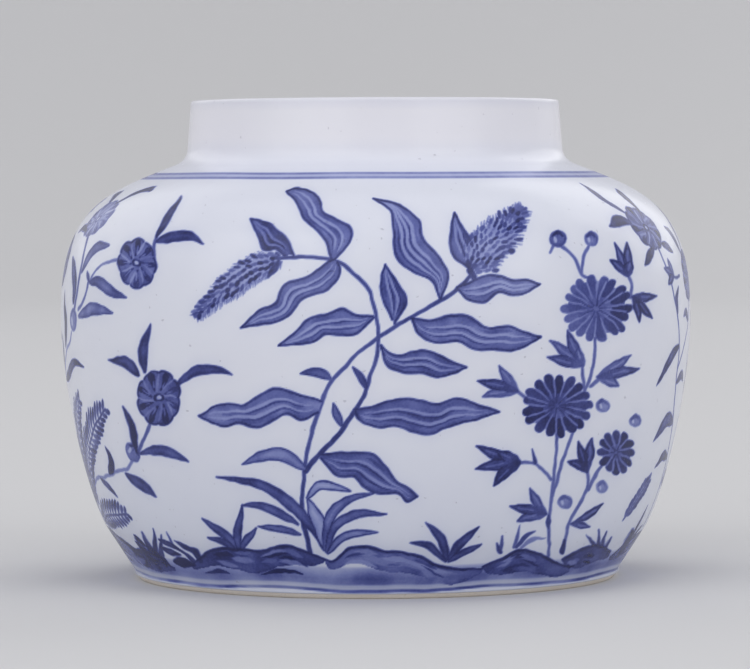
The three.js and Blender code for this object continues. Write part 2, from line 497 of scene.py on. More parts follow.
class Side:
    """One side of the jar as it is seen from an azimuth in degrees, kept as a sheet of ink
    from 0 for bare clay to 1 for the darkest blue."""

    def __init__(self, azimuth, seed):
        self.azimuth = math.radians(azimuth)
        self.glance = self.azimuth
        self.ink = np.zeros((SHEET_ROWS, SHEET_COLUMNS), np.float32)
        self.x = SHEET_LEFT + CELL * np.arange(SHEET_COLUMNS)
        self.z = SHEET_BOTTOM + CELL * np.arange(SHEET_ROWS)
        self.random = np.random.default_rng(seed)
        blots = self.random.random((SHEET_ROWS // BLOT_CELLS, SHEET_COLUMNS // BLOT_CELLS))
        blots = np.kron(blots, np.ones((BLOT_CELLS, BLOT_CELLS)))
        self.unevenness = softened(blots, BLOT_SOFTNESS)

    def seen_from(self, azimuth):
        """From here on the places given are as they look from another azimuth."""
        self.glance = math.radians(azimuth)

    def moved(self, points):
        """Points moved from where the glance sees them on the wall to this side's sheet. How
        much larger they look for being nearer than the axis is found by repeated guesses."""
        points = np.array(points, float)
        if self.glance == self.azimuth:
            return points
        scale = FIRST_SCALE
        for _ in range(GUESSES):
            height = EYE_HEIGHT + (points[:, 1] - EYE_HEIGHT) / scale
            radius = np.interp(height, wall_height, wall_radius)
            sine = np.clip(points[:, 0] / (radius * scale), -FARTHEST_ASIDE, FARTHEST_ASIDE)
            scale = EYE_DISTANCE / (EYE_DISTANCE - radius * np.sqrt(1 - sine**2))
        turn = np.arcsin(sine) + self.glance - self.azimuth
        scale = EYE_DISTANCE / (EYE_DISTANCE - radius * np.cos(turn))
        up = EYE_HEIGHT + (height - EYE_HEIGHT) * scale
        return np.column_stack([radius * np.sin(turn) * scale, up])

    def window(self, low, high):
        """The slices of rows and columns that cover a box on the sheet."""
        start = (np.array(low) - (SHEET_LEFT, SHEET_BOTTOM)) / CELL
        stop = (np.array(high) - (SHEET_LEFT, SHEET_BOTTOM)) / CELL + 2
        start = np.clip(start.astype(int), 0, None)
        stop = np.clip(stop.astype(int), 1, None)
        return slice(start[1], stop[1]), slice(start[0], stop[0])

    def brush(self, points, width, ink, lift=False):
        """A stroke along a line. width and ink are one number, or several that it passes
        through from start to end. With lift it thins the wash instead of adding to it."""
        line = spline(self.moved(points))
        shares = np.linspace(0, 1, len(line))
        widths = np.interp(shares, np.linspace(0, 1, np.size(width)), np.atleast_1d(width))
        inks = np.interp(shares, np.linspace(0, 1, np.size(ink)), np.atleast_1d(ink))
        for i in range(len(line) - 1):
            self.dab(line[i], line[i + 1], widths[i] / 2, inks[i], lift)

    def dab(self, start, end, reach, ink, lift):
        """One short straight touch of the brush, soft at its edge."""
        margin = reach + EDGE_SOFTNESS
        rows, columns = self.window(
            np.minimum(start, end) - margin, np.maximum(start, end) + margin
        )
        x = self.x[columns][None, :] - start[0]
        z = self.z[rows][:, None] - start[1]
        dx, dz = end - start
        share = np.clip((x * dx + z * dz) / (dx * dx + dz * dz + 1e-9), 0, 1)
        away = np.hypot(x - share * dx, z - share * dz)
        cover = np.clip((reach - away) / EDGE_SOFTNESS + 0.5, 0, 1)
        sheet = self.ink[rows, columns]
        if lift:
            sheet += (np.minimum(sheet, ink) - sheet) * cover
        else:
            np.maximum(sheet, ink * cover, out=sheet)

    def fill(self, outline, wash, pool=0.12, reach=0.9):
        """A patch of wash, darker by pool at its edge and evened out reach millimetres in."""
        outline = self.moved(outline)
        low, high = outline.min(0) - CELL, outline.max(0) + CELL
        rows, columns = self.window(low, high)
        x, z = self.x[columns], self.z[rows]
        inside = np.zeros((len(z), len(x)), bool)
        edge = np.full(inside.shape, reach)
        loop = np.vstack([outline, outline[:1]])
        for (x1, z1), (x2, z2) in zip(loop, loop[1:]):
            crossed = (z1 > z) != (z2 > z)
            if crossed.any():
                at = x1 + (z[crossed] - z1) * (x2 - x1) / (z2 - z1)
                inside[crossed] ^= x[None, :] < at[:, None]
            near_rows = np.abs(z - (z1 + z2) / 2) < reach + abs(z2 - z1)
            near_columns = np.abs(x - (x1 + x2) / 2) < reach + abs(x2 - x1)
            block = np.ix_(near_rows, near_columns)
            away = np.hypot(x[near_columns][None, :] - x1, z[near_rows][:, None] - z1)
            edge[block] = np.minimum(edge[block], away)
        uneven = 0.8 + 0.4 * self.unevenness[rows, columns]
        laid = wash * uneven + pool * (1 - edge / reach)
        sheet = self.ink[rows, columns]
        sheet[inside] = laid[inside]

    def lay_round(self, wall, shake):
        """Lays the sheet round the side of the wall that faces it, with a slight shake."""
        facing = np.cos(wall_turn - self.azimuth)
        columns = np.nonzero(facing > LEAST_FACING)[0]
        radius, height = wall_radius[:, None], wall_height[:, None]
        scale = EYE_DISTANCE / (EYE_DISTANCE - radius * facing[columns])
        across = radius * np.sin(wall_turn[columns] - self.azimuth) * scale
        across += shake[0][:, columns]
        up = EYE_HEIGHT + (height - EYE_HEIGHT) * scale + shake[1][:, columns]
        column = np.clip((across - SHEET_LEFT) / CELL, 0, SHEET_COLUMNS - 1.01)
        row = np.clip((up - SHEET_BOTTOM) / CELL, 0, SHEET_ROWS - 1.01)
        c, r = column.astype(int), row.astype(int)
        u, v = column - c, row - r
        ink = self.ink
        laid = (ink[r, c] * (1 - u) + ink[r, c + 1] * u) * (1 - v)
        laid += (ink[r + 1, c] * (1 - u) + ink[r + 1, c + 1] * u) * v
        wall[:, columns] = np.maximum(wall[:, columns], laid)


def softened(field, width, wrap=False):
    """A field averaged over width cells each way, twice."""
    half = width // 2
    mode = "wrap" if wrap else "edge"
    for _ in range(2):
        for axis in (0, 1):
            pad = [(0, 0), (0, 0)]
            pad[axis] = (half + 1, half)
            padded = np.pad(field, pad, mode=mode if axis == 1 else "edge")
            total = np.cumsum(padded, axis=axis, dtype=np.float64)
            span = 2 * half + 1
            if axis == 0:
                field = (total[span:] - total[:-span]) / span
            else:
                field = (total[:, span:] - total[:, :-span]) / span
    return field


def mottled(size, seed):
    """Soft blots on the wall's grid, about size cells across, from about -1 to 1."""
    draw = np.random.default_rng(seed)
    blots = softened(draw.standard_normal(cobalt.shape), size, wrap=True)
    return blots / (blots.std() * 2)


# Smartweed: jointed stems with long wavy leaves, each washed, outlined in dark blue and left
# with two or three paler veins, narrow leaves at the root, and a spike of seeds at each tip.
LEAF_LINE = 0.5


def wavy_leaf(side, edge, other, wash=WASH_INK, veins=(0.36, 0.66)):
    """A leaf between two edges that both run from its tip to its stalk, with broad streaks of
    darker wash and veins that are left pale, each beside a fine dark line."""
    draw = side.random
    first, second = spline(edge), spline(other)
    side.fill(np.vstack([first, second[::-1]]), wash)
    for share in (0.18, 0.52, 0.84):
        start = draw.uniform(0.05, 0.5)
        broad = part_of(between(edge, other, share), start, start + draw.uniform(0.3, 0.45))
        dark = wash + draw.uniform(0.06, 0.16)
        side.brush(broad, (0.1, 0.7, 1.0, 0.7, 0.1), (wash, dark, dark, wash))
    for share in veins:
        shade = part_of(between(edge, other, share + 0.1), 0.12, 0.95)
        side.brush(shade, (0.1, 0.5, 0.6, 0.1), (wash, wash + 0.3, wash + 0.22, wash + 0.3))
        vein = part_of(between(edge, other, share), 0.1, draw.uniform(0.88, 0.97))
        side.brush(vein, (0.1, 0.6, 0.5, 0.1), wash * 0.62, lift=True)
    for line in (first, second):
        side.brush(line, (LEAF_LINE * 0.9, LEAF_LINE * 1.3, LEAF_LINE), (0.95, 0.8, 0.9))


def ribbon(points):
    """A smooth line through points: its points, the share of its length at each of them, and
    there the directions along the line and across it to the left."""
    middle = spline(points)
    run = np.gradient(middle, axis=0)
    run /= np.hypot(*run.T)[:, None]
    across = np.column_stack([-run[:, 1], run[:, 0]])
    return middle, np.linspace(0, 1, len(middle)), run, across


def blade(side, points, width, wash, line=LINE_INK):
    """A narrow leaf or blade of grass along a line from its root to its tip, outlined."""
    middle, share, _, across = ribbon(points)
    half = width / 2 * np.sin(np.pi * (0.02 + 0.98 * share) ** 0.85) ** 0.9
    across = across * half[:, None]
    side.fill(np.vstack([middle + across, (middle - across)[::-1]]), wash, 0.2)
    for edge in (middle + across, middle - across):
        side.brush(edge, (0.3, 0.4, 0.3), line * 0.95)


def seed_spike(side, spine, width, ink=0.9):
    """A plump spike of seeds along its spine, from its stalk to its tip, with short hairs."""
    middle, share, run, across = ribbon(spine)
    half = width / 2 * np.minimum(1, np.minimum(share * 5 + 0.35, (1 - share) * 2.0 + 0.16))
    inner = across * half[:, None] * 0.95
    side.fill(np.vstack([middle + inner, (middle - inner)[::-1]]), 0.3, 0.0)
    draw = side.random
    for i in range(1, len(middle) - 1, 4):
        lanes = np.arange(-0.9, 0.95, 2.1 / width) + draw.uniform(-0.15, 0.15)
        for lane in lanes:
            spot = middle[i] + across[i] * half[i] * lane - run[i] * abs(lane) * 0.6
            lean = run[i] * 0.9 + across[i] * lane * 0.75
            lean = lean * draw.uniform(0.7, 1.1) + draw.normal(0, 0.12, 2)
            grain = [spot, spot + lean * 0.6, spot + lean]
            side.brush(grain, (0.45, draw.uniform(0.7, 1.1), 0.4), draw.uniform(0.5, 1.05) * ink)
    for i in range(1, len(middle) - 1, 2):
        for lane in (-1, 1):
            spot = middle[i] + across[i] * half[i] * lane
            hair = run[i] * draw.uniform(0.5, 1.0) + across[i] * lane * draw.uniform(0.5, 1)
            side.brush([spot, spot + hair], (0.3, 0.12), 0.6)


# Chrysanthemums: round flowers of many narrow petals, small round buds on thin stalks, and
# leaves of three or four pointed lobes, all painted darker than the smartweed.
def heading(angle):
    """The direction at an angle in radians, anticlockwise from the right."""
    return np.array([math.cos(angle), math.sin(angle)])


def daisy(side, centre, radii, petals, ink, pale_turn=None):
    """An open flower seen from the front: radii are across and up. With pale_turn its petals
    are palest at that angle in degrees."""
    centre, radii = np.array(centre), np.array(radii)
    around = np.radians(np.linspace(0, 360, 60, endpoint=False))
    ring = np.column_stack([np.cos(around), np.sin(around)])
    side.fill(centre + ring * radii * 0.84, ink * 0.78, 0.0)
    wide = 2 * math.pi * radii.mean() / petals
    angles = np.radians(360 * np.arange(petals) / petals)
    angles += side.random.uniform(-0.06, 0.06, petals)
    reach = side.random.uniform(0.9, 0.99, petals)
    for angle, length in zip(angles, reach):
        shade = ink * side.random.uniform(0.92, 1.15)
        if pale_turn is not None:
            shade *= 0.86 - 0.16 * math.cos(angle - math.radians(pale_turn))
        out = heading(angle) * radii
        petal = [centre + out * share * length for share in (0.5, 0.8, 0.97)]
        side.brush(petal, (wide * 0.4, wide * 0.78, wide * 0.8, wide * 0.66), shade)
    for angle in angles + math.pi / petals:
        gap = [centre + heading(angle) * radii * share for share in (0.3, 0.6, 0.9)]
        side.brush(gap, (0.2, 0.36, 0.3), ink * 0.5, lift=True)
    for angle in angles[::2]:
        out = heading(angle + 0.1) * radii
        side.brush([centre + out * 0.1, centre + out * 0.6], (0.5, 0.2), ink)


def crosswise(start, end):
    """The direction square to the way from start to end, to its left."""
    run = (end - start) / np.hypot(*(end - start))
    return np.array([-run[1], run[0]])


def lobed_leaf(side, stalk, lobes, width, ink):
    """A plump leaf of pointed lobes that spread from where its stalk ends."""
    stalk = np.array(stalk, float)
    lobes = [np.array(lobe, float) for lobe in lobes]
    heart = stalk * 0.55 + np.mean(lobes, axis=0) * 0.45
    for lobe in lobes:
        belly = heart * 0.2 + (stalk * 0.42 + lobe * 0.58) * 0.8
        spread = width * side.random.uniform(0.7, 0.95)
        shade = ink * side.random.uniform(0.75, 1.1)
        line = [stalk, belly, lobe]
        side.brush(line, (width * 0.3, spread * 0.95, spread * 1.15, spread * 0.8, 0.2), shade)
        across = crosswise(belly, lobe) * spread * 0.5
        for away in (-1, 1):
            edge = [stalk * 0.5 + belly * 0.5 + across * away * 0.6, belly + across * away, lobe]
            side.brush(edge, (0.2, 0.5, 0.3), min(1, shade * 1.3))
        side.brush([belly * 0.7 + stalk * 0.3, belly * 0.5 + lobe * 0.5], 0.3, shade * 0.7, True)


def bud(side, centre, radius, ink, open_to=90, flesh=0.42):
    """A round bud: a washed ball with creases that run to the end where it will open, which
    is darkest, and a spot left pale. open_to is that end's angle in degrees."""
    centre = np.array(centre)
    round_it = [(math.cos(a), math.sin(a)) for a in np.linspace(0, 6.3, 14)]
    ring = turned_by(round_it, 0, centre, radius * 0.85)
    side.fill(ring[:-1], flesh, 0.12)
    side.brush(ring, (0.6, 0.35, 0.5, 0.3, 0.55), (ink, ink * 0.75, ink))
    tip, root = turned_by([(0.85, 0), (-0.85, 0)], open_to, centre, radius)
    for swell in (-0.55, 0.05, 0.6):
        belly = turned_by([(0, swell)], open_to, centre, radius)[0]
        side.brush([root, belly, tip], (0.2, 0.34, 0.6), (ink * 0.7, ink * 0.8, ink))
    pale = turned_by([(-0.3, 0.3), (0.1, 0.35)], open_to, centre, radius)
    side.brush(pale, radius * 0.32, flesh * 0.4, lift=True)
    cap = turned_by([(0.3, -0.62), (0.75, 0), (0.3, 0.62)], open_to, centre, radius)
    side.brush(cap, (0.4, 0.9, 0.4), min(1, ink * 1.15))


# Pomegranate branches: round flowers of curled lobes, each above a fan of narrow leaves, and
# round buds, on thin branches that are each laid with one stroke.
def rosette(side, centre, radii, turn, lobes, ink):
    """A round flower of curled lobes around a pale eye, with a pale gap between every two."""
    centre, radii = np.array(centre), np.array(radii)
    draw = side.random
    half = math.pi / lobes

    def place(reach, angle):
        return centre + radii * reach * heading(angle)

    turns = math.radians(turn) + 2 * half * np.arange(lobes)
    edge = [
        place(0.91 + 0.09 * math.sin(math.pi * share) ** 0.7, angle + 2 * half * share)
        for angle in turns
        for share in np.arange(0, 1, 0.125)
    ]
    side.fill(np.array(edge), ink * 0.7, 0.1)
    side.brush(np.array(edge + edge[:1]), 0.45, min(1, ink * 1.1))
    for angle in turns + half:
        dark = min(0.97, ink * draw.uniform(0.9, 1.25))
        lobe = [place(0.3, angle + 0.2), place(0.6, angle), place(0.86, angle)]
        side.brush(lobe, (0.5, radii.mean() * 0.2, radii.mean() * 0.32), dark)
    for i, angle in enumerate(turns):
        gap = [place(0.24 + 0.14 * (i % 2), angle + 0.35), place(0.6, angle + 0.12)]
        gap.append(place(draw.uniform(0.8, 0.96), angle))
        side.brush(gap, (0.35, 0.42, 0.2), ink * draw.uniform(0.3, 0.58), lift=True)
    for angle in turns + half * 0.9:
        crease = [place(0.42, angle + 0.1), place(draw.uniform(0.62, 0.8), angle)]
        side.brush(crease, (0.3, 0.15), ink * draw.uniform(0.45, 0.65), lift=True)
    side.brush([place(0.06, 0), place(0.06, math.pi)], 1.6, min(1, ink * 1.1))
    side.brush([place(0.02, 0), place(0.02, math.pi)], 0.75, 0.16, lift=True)


# Front: two smartweed stems that cross, with a leaf at every joint and a seed spike at each
# tip, a chrysanthemum plant to their right, and to their left two pomegranate flowers.
front = Side(0, seed=11)
front.brush(
    [(-14.7, 21.6), (-12.7, 23.9), (-8.4, 28.8), (-4, 35), (-1.3, 40.8), (0.5, 47.5),
     (0.3, 53), (-1.4, 59), (-3.8, 62), (-6.9, 64.5), (-10.1, 65.6), (-14.1, 66.1), (-20, 65.8)],
    (1.1, 0.95, 0.75, 0.8, 0.65),
    (0.84, 0.75, 0.72, 0.8),
)
front.brush(
    [(-13.8, 4), (-15.3, 14.1), (-14.6, 24.2), (-12.1, 33.6), (-8.7, 40.8), (-1.4, 48),
     (6.3, 52.9), (11.2, 55.5), (15.9, 58.4), (19.9, 62.4)],
    (0.95, 0.8, 0.75, 0.8, 0.75),
    (0.84, 0.68, 0.72, 0.8),
)
wavy_leaf(
    front,
    [(-18.2, 79.6), (-15.9, 80.1), (-13, 79.3), (-11.2, 77.4), (-10.8, 75.3), (-8.6, 73.8),
     (-5.8, 72.4), (-4.8, 70.6), (-5.6, 68.2), (-7.6, 66.2), (-8.8, 65.3)],
    [(-18.2, 79.6), (-16.6, 77.8), (-15.4, 75.6), (-14, 73.2), (-11.6, 71.2), (-9.8, 69.2),
     (-9.5, 66.8), (-8.9, 65.3)],
)
wavy_leaf(
    front,
    [(-0.3, 77.9), (5.2, 76.7), (8.9, 73.5), (9.7, 69.8), (13.3, 65.6), (15, 61.7), (13.5, 57)],
    [(-0.3, 77.9), (3.3, 75.6), (3.8, 71.5), (4.3, 66.9), (7.5, 63.3), (11.7, 60.7),
     (13.4, 57.2)],
    veins=(0.32, 0.52, 0.72),
)
for edge, other, wash in (
    ([(16.2, 75), (15.9, 71.5), (15.5, 68.5), (16.7, 65.8), (19.3, 63.6)],
     [(16.2, 75), (18.7, 70.9), (20.4, 67.2), (19.6, 64)], 0.62),
    ([(-28, 51.4), (-24.5, 54.6), (-20.5, 56.7), (-19, 60), (-13.8, 62.1), (-10.1, 64.7),
      (-8.6, 65.5)],
     [(-28, 51.4), (-24, 52.2), (-21.3, 52.6), (-17.9, 54.4), (-15, 57.5), (-10.4, 58.8),
      (-7.4, 62.6), (-8, 65)], 0.5),
    ([(-20.3, 47.7), (-17, 50.3), (-13.6, 53.4), (-9.8, 54.2), (-6.9, 55.1), (-4, 53.9),
      (-0.6, 53.8)],
     [(-20.3, 47.7), (-13.3, 48.6), (-10.4, 50.3), (-5.2, 49.8), (-2.3, 51.5), (-0.4, 53.6)], 0.5),
    ([(34.3, 49.2), (30.5, 50.2), (27.5, 51.4), (23, 51.3), (19, 53.5), (15.3, 53.8), (11.3, 52.6),
      (7.2, 53.1)],
     [(34.3, 49.2), (31, 47.3), (28, 46.5), (24.5, 46.9), (20.5, 46.9), (17.3, 48.5), (12.7, 48.3),
      (9.2, 49.9), (7.3, 53)], 0.5),
    ([(2.2, 64.5), (1, 60), (1.9, 56.7), (3.5, 52.9)],
     [(2.2, 64.5), (4.5, 60.5), (6.2, 57), (3.9, 52.1)], 0.6),
    ([(18.8, 42.9), (17.2, 43.4), (14, 44.9), (11, 46.2), (8, 46.2), (5, 45.4), (2.8, 46),
      (1.2, 47.9)],
     [(18.8, 42.9), (16.3, 41.9), (13, 41.1), (9.5, 41.9), (5.2, 42.1), (2.3, 43.5), (1.1, 47.7)],
     0.58),
    ([(25.6, 33.8), (22.5, 34.8), (16.4, 36.3), (12.7, 35.3), (6.9, 36.5), (2.9, 36), (-0.6, 34.9),
      (-4.6, 34.6)],
     [(25.6, 33.8), (22, 32.8), (19.6, 32.2), (15, 30.9), (11.5, 29.1), (7.8, 29.7), (4.3, 31),
      (0.6, 30.7), (-3.5, 32.4), (-4.3, 34.2)], 0.56),
    ([(-36.8, 33), (-33, 35.2), (-29.5, 35.3), (-27, 35.3), (-22.5, 38.4), (-19.9, 38.8),
      (-16.2, 37.2), (-11.3, 35.9)],
     [(-36.8, 33), (-31.5, 31), (-28.5, 31.8), (-24.5, 30.9), (-21.3, 32.4), (-18.8, 33.6),
      (-15.3, 32.2), (-12.1, 33.6)], 0.5),
    ([(8.5, 16.2), (6.3, 18.2), (3.5, 20), (1.7, 22.5), (-0.6, 24.8), (-4.6, 25.4), (-8.7, 25.2),
      (-11.4, 24.9)],
     [(8.5, 16.2), (6.3, 15.3), (4.3, 17), (0.6, 17), (-2.3, 18.2), (-4.6, 20.3), (-7.8, 20.6),
      (-11.4, 24.2)], 0.58),
    ([(34, 60.1), (31.5, 61), (28, 61), (25.5, 61.8), (22, 61.6), (17, 59.7)],
     [(34, 60.1), (31, 58.3), (28, 57.9), (25.5, 58.6), (22.5, 56.4), (19.3, 57), (17.3, 59.3)],
     0.46),
    ([(-25.9, 73.8), (-22, 73.1), (-20.4, 71.7), (-18, 69.3), (-16.8, 66.5)],
     [(-25.9, 73.8), (-24, 70), (-23.3, 67.6), (-20.5, 67.8), (-18.6, 66.3)], 0.72),
):
    wavy_leaf(front, edge, other, wash)
for line, width, wash in (
    ([(-9.2, 40.7), (-12, 42), (-15.6, 41.7)], 1.7, 0.58),
    ([(-2, 38.6), (-3, 40.8), (-4.9, 43.3)], 1.2, 0.66),
    ([(-7.2, 31), (-8.3, 33.3), (-9, 35.9)], 1.5, 0.5),
    ([(-14.7, 21.9), (-18.2, 24.4), (-22.5, 24.9), (-27.8, 23.1)], 2.4, 0.4),
    ([(-14.3, 16), (-11.8, 18.4), (-8.5, 18.2), (-5.3, 17.3)], 1.7, 0.26),
    ([(-11, 5), (-12.5, 8.6), (-16.2, 13.4), (-22.5, 18), (-27.5, 19.6), (-33.5, 20.4)], 1.9, 0.6),
    ([(-16, 10.5), (-20.2, 13.1), (-24, 14.5), (-28, 14.4)], 1.5, 0.55),
    ([(-15.7, 8.4), (-19, 9.4), (-24.5, 10.2)], 1.2, 0.5),
    ([(-11, 5.6), (-11.7, 10), (-12.9, 13), (-14.2, 16)], 2.6, 0.24),
    ([(-11, 5), (-9.7, 11.8), (-6, 15.3), (-0.4, 17)], 1.9, 0.5),
    ([(-10.7, 4.6), (-8.4, 10.1), (-4.3, 12.4), (2, 12.6)], 1.6, 0.5),
    ([(-10.4, 4.3), (-7.5, 7.3), (-3.5, 8.8), (0.3, 8.9)], 1.4, 0.36),
    ([(14.6, 2.8), (13.6, 7), (10.2, 10.8)], 1.6, 0.64),
    ([(14.4, 2.6), (11.2, 5.6), (7.2, 6.9)], 1.2, 0.64),
    ([(14.8, 2.8), (17.3, 6.4), (21.3, 9.8)], 1.5, 0.64),
    ([(14.8, 2.6), (17.8, 4.4), (21.8, 6.2)], 1.2, 0.64),
    ([(-28.6, 4.4), (-30.3, 7.3), (-33, 9.7), (-36.2, 11.8)], 1.6, 0.6),
    ([(-28.7, 4.4), (-31.6, 6.8), (-35, 8)], 1.1, 0.6),
    ([(-28.4, 4.4), (-28.9, 9), (-27.7, 14.7)], 1.4, 0.6),
    ([(-28.2, 4.6), (-26.8, 7.6), (-24.9, 9.8)], 1.2, 0.6),
):
    blade(front, line, width, wash)
seed_spike(front, [(19.9, 63.4), (23, 67.5), (27, 71.5), (31, 76)], 7.2)
seed_spike(front, [(-19.6, 65.4), (-25.5, 63.2), (-31, 59.4), (-37.4, 53.4)], 4.3, 0.96)

for line in (
    [(35.6, 3.8), (35.8, 10), (36.4, 17), (37.2, 24), (37.4, 30)],
    [(38.5, 4.6), (39.8, 10), (43, 16), (44, 19), (43.8, 22)],
    [(44, 17.5), (46.2, 21.5), (48, 23.5)],
    [(36.5, 16.4), (37.7, 20.4), (39.5, 26), (41.5, 31)],
    [(43, 37), (44.6, 41.4), (45.3, 45), (45.7, 49)],
    [(46, 49), (46, 60), (42.8, 62), (41.2, 65.6), (39, 68)],
    [(42.7, 62.5), (43.2, 66.3), (44, 68)],
    [(52.9, 57), (53, 60), (52.2, 63)],
    [(36.2, 19.5), (33, 23.1), (29, 23.2)],
    [(43.4, 38), (42.9, 41), (42.6, 44), (40.6, 47)],
    [(37, 68.6), (36.2, 66.9)],
    [(38.4, 68.2), (39.6, 67.4)],
    [(29, 38.3), (31, 36.6)],
    [(44.5, 39), (47, 41.4)],
):
    front.brush(line, 0.64, 0.58)
front.brush([(38.5, 4.5), (38.9, 7)], (1.1, 0.6), 0.85)
front.brush([(35.7, 9.5), (35.7, 12)], (0.5, 1.1, 0.5), 0.75)
daisy(front, (45.8, 55.2), (7.1, 6.7), 18, 0.78, pale_turn=180)
daisy(front, (37.6, 34.9), (7.2, 6.1), 17, 0.84)
daisy(front, (49.7, 25.2), (3.5, 4.4), 12, 0.86)
for centre, radius, shade, flesh in (
    ((37.8, 69.7), 1.9, 0.84, 0.6),
    ((44.6, 69.5), 1.5, 0.68, 0.5),
    ((47.1, 34.8), 1.5, 0.56, 0.42),
    ((53.9, 31.7), 1.2, 0.62, 0.42),
    ((39.1, 14.9), 1.6, 0.56, 0.42),
    ((46.7, 17.8), 1.3, 0.5, 0.42),
):
    bud(front, centre, radius, shade, flesh=flesh)
for stalk, lobes, width, shade in (
    ((52.5, 61.8), [(48.6, 65), (49.7, 68.4), (52.2, 68.6), (52.8, 65)], 1.8, 0.8),
    ((53.2, 57.3), [(58, 57.6), (57.3, 53), (54.6, 52.4)], 1.9, 0.85),
    ((43, 43.5), [(36, 48.4), (39.7, 50.6), (35.4, 44.8), (42, 47)], 2.2, 0.68),
    ((45.8, 40.8), [(52.8, 45.3), (54.5, 42.5), (50.4, 38.9)], 2.3, 0.74),
    ((29.4, 38), [(25.6, 43.4), (21, 40.2), (22.2, 36.9)], 2.5, 0.74),
    ((43.9, 21), [(42.1, 27.5), (44.7, 28.2), (39.8, 23.3)], 1.8, 0.8),
    ((29.6, 23.4), [(20.6, 26.6), (20.6, 21.9), (24.2, 18.4), (25, 25.5)], 2.4, 0.8),
    ((35.2, 12.4), [(31.8, 17.6), (27.8, 14), (29.2, 10.8)], 2.0, 0.76),
    ((40.4, 10.3), [(47, 14.4), (44.3, 9.8)], 1.4, 0.76),
):
    lobed_leaf(front, stalk, lobes, width, shade)

for line in (
    [(-46.2, 33.5), (-47.4, 30), (-49.4, 25.6)],
    [(-45.6, 65), (-45.8, 68.5), (-45.2, 70.4)],
):
    front.brush(line, 0.7, 0.64)
rosette(front, (-49.3, 64.8), (3.9, 5.1), 20, 8, 0.82)
rosette(front, (-45, 36.9), (4.5, 5.8), 0, 8, 0.86)
for line, width, wash in (
    ([(-45.4, 70.2), (-42.6, 74.8), (-40.2, 78.7)], 1.2, 0.8),
    ([(-45.4, 69.4), (-41.5, 70.4), (-37.8, 70.3), (-35.6, 68.6)], 1.9, 0.66),
    ([(-47.9, 42.3), (-48.2, 47), (-46.8, 52.4)], 1.5, 0.74),
    ([(-49.1, 41.4), (-51.6, 44), (-55.4, 45)], 2.0, 0.72),
    ([(-41.4, 39.6), (-37.5, 42.4), (-33, 42.8), (-30, 41.6)], 1.8, 0.7),
    ([(-49.8, 25.3), (-50.4, 30.5), (-52.5, 35.2)], 1.0, 0.8),
    ([(-49, 25.2), (-44.5, 25.9), (-41, 24.8), (-38.9, 23.7)], 1.8, 0.68),
    ([(-52, 21.3), (-48.6, 18.8), (-45.6, 16.4)], 1.7, 0.74),
):
    blade(front, line, width, wash, 0.85)


# Left side: pomegranate branches with three flowers and three round buds, under two small
# insects that fly below the shoulder lines.
left_side = Side(-76.5, seed=12)
for line, width, shade in (
    ([(-10, 59.6), (-11.4, 57.4), (-13.2, 55), (-14.6, 51), (-15.3, 47), (-16, 42)], 1.0, 0.62),
    ([(-31, 59.2), (-27, 55.5), (-22.5, 50), (-20, 45.5), (-17.8, 41.5)], (1.0, 0.8, 0.6), 0.58),
    ([(-16.3, 36), (-14, 32), (-13, 28), (-12, 23), (-11, 17)], (1.1, 0.9, 0.7), 0.54),
    ([(9.2, 70), (10.3, 67), (11, 62), (10.6, 58), (9.2, 54.3)], 1.15, 0.62),
    ([(11.7, 54), (14, 55.3), (16, 58), (16.5, 60)], 0.9, 0.56),
    ([(6.5, 48.8), (4.5, 46.5), (1.5, 45.2), (-1, 43.5), (-5, 41), (-8, 38.5)], 0.75, 0.45),
    ([(-8, 38.5), (-9.5, 36), (-10.5, 32), (-11, 27)], 0.6, 0.34),
    ([(17, 60), (20, 63), (22.8, 64.4), (27.4, 65.4)], 0.7, 0.5),
    ([(-0.5, 13), (3, 15.5), (8, 17.2), (15, 18.4), (22, 20), (25.4, 21.2), (27.4, 22.8)], 0.7, 0.45),
    ([(-21.5, 45.3), (-23.5, 47.5), (-26, 49)], 0.8, 0.52),
):
    left_side.brush(line, width, shade)
for centre, radii, turn, lobes, shade in (
    ((-33.5, 63.5), (5.4, 5.5), 10, 9, 0.7),
    ((-8.5, 64.3), (6.0, 5.7), 35, 9, 0.84),
    ((8.8, 73.7), (6.3, 3.8), 0, 10, 0.6),
):
    rosette(left_side, centre, radii, turn, lobes, shade)
bud(left_side, (-16.3, 39), 3.2, 0.62, 110, 0.5)
bud(left_side, (8.3, 51.5), 2.8, 0.56, 90, 0.46)
bud(left_side, (27.8, 24.4), 2.3, 0.74, 40, 0.5)
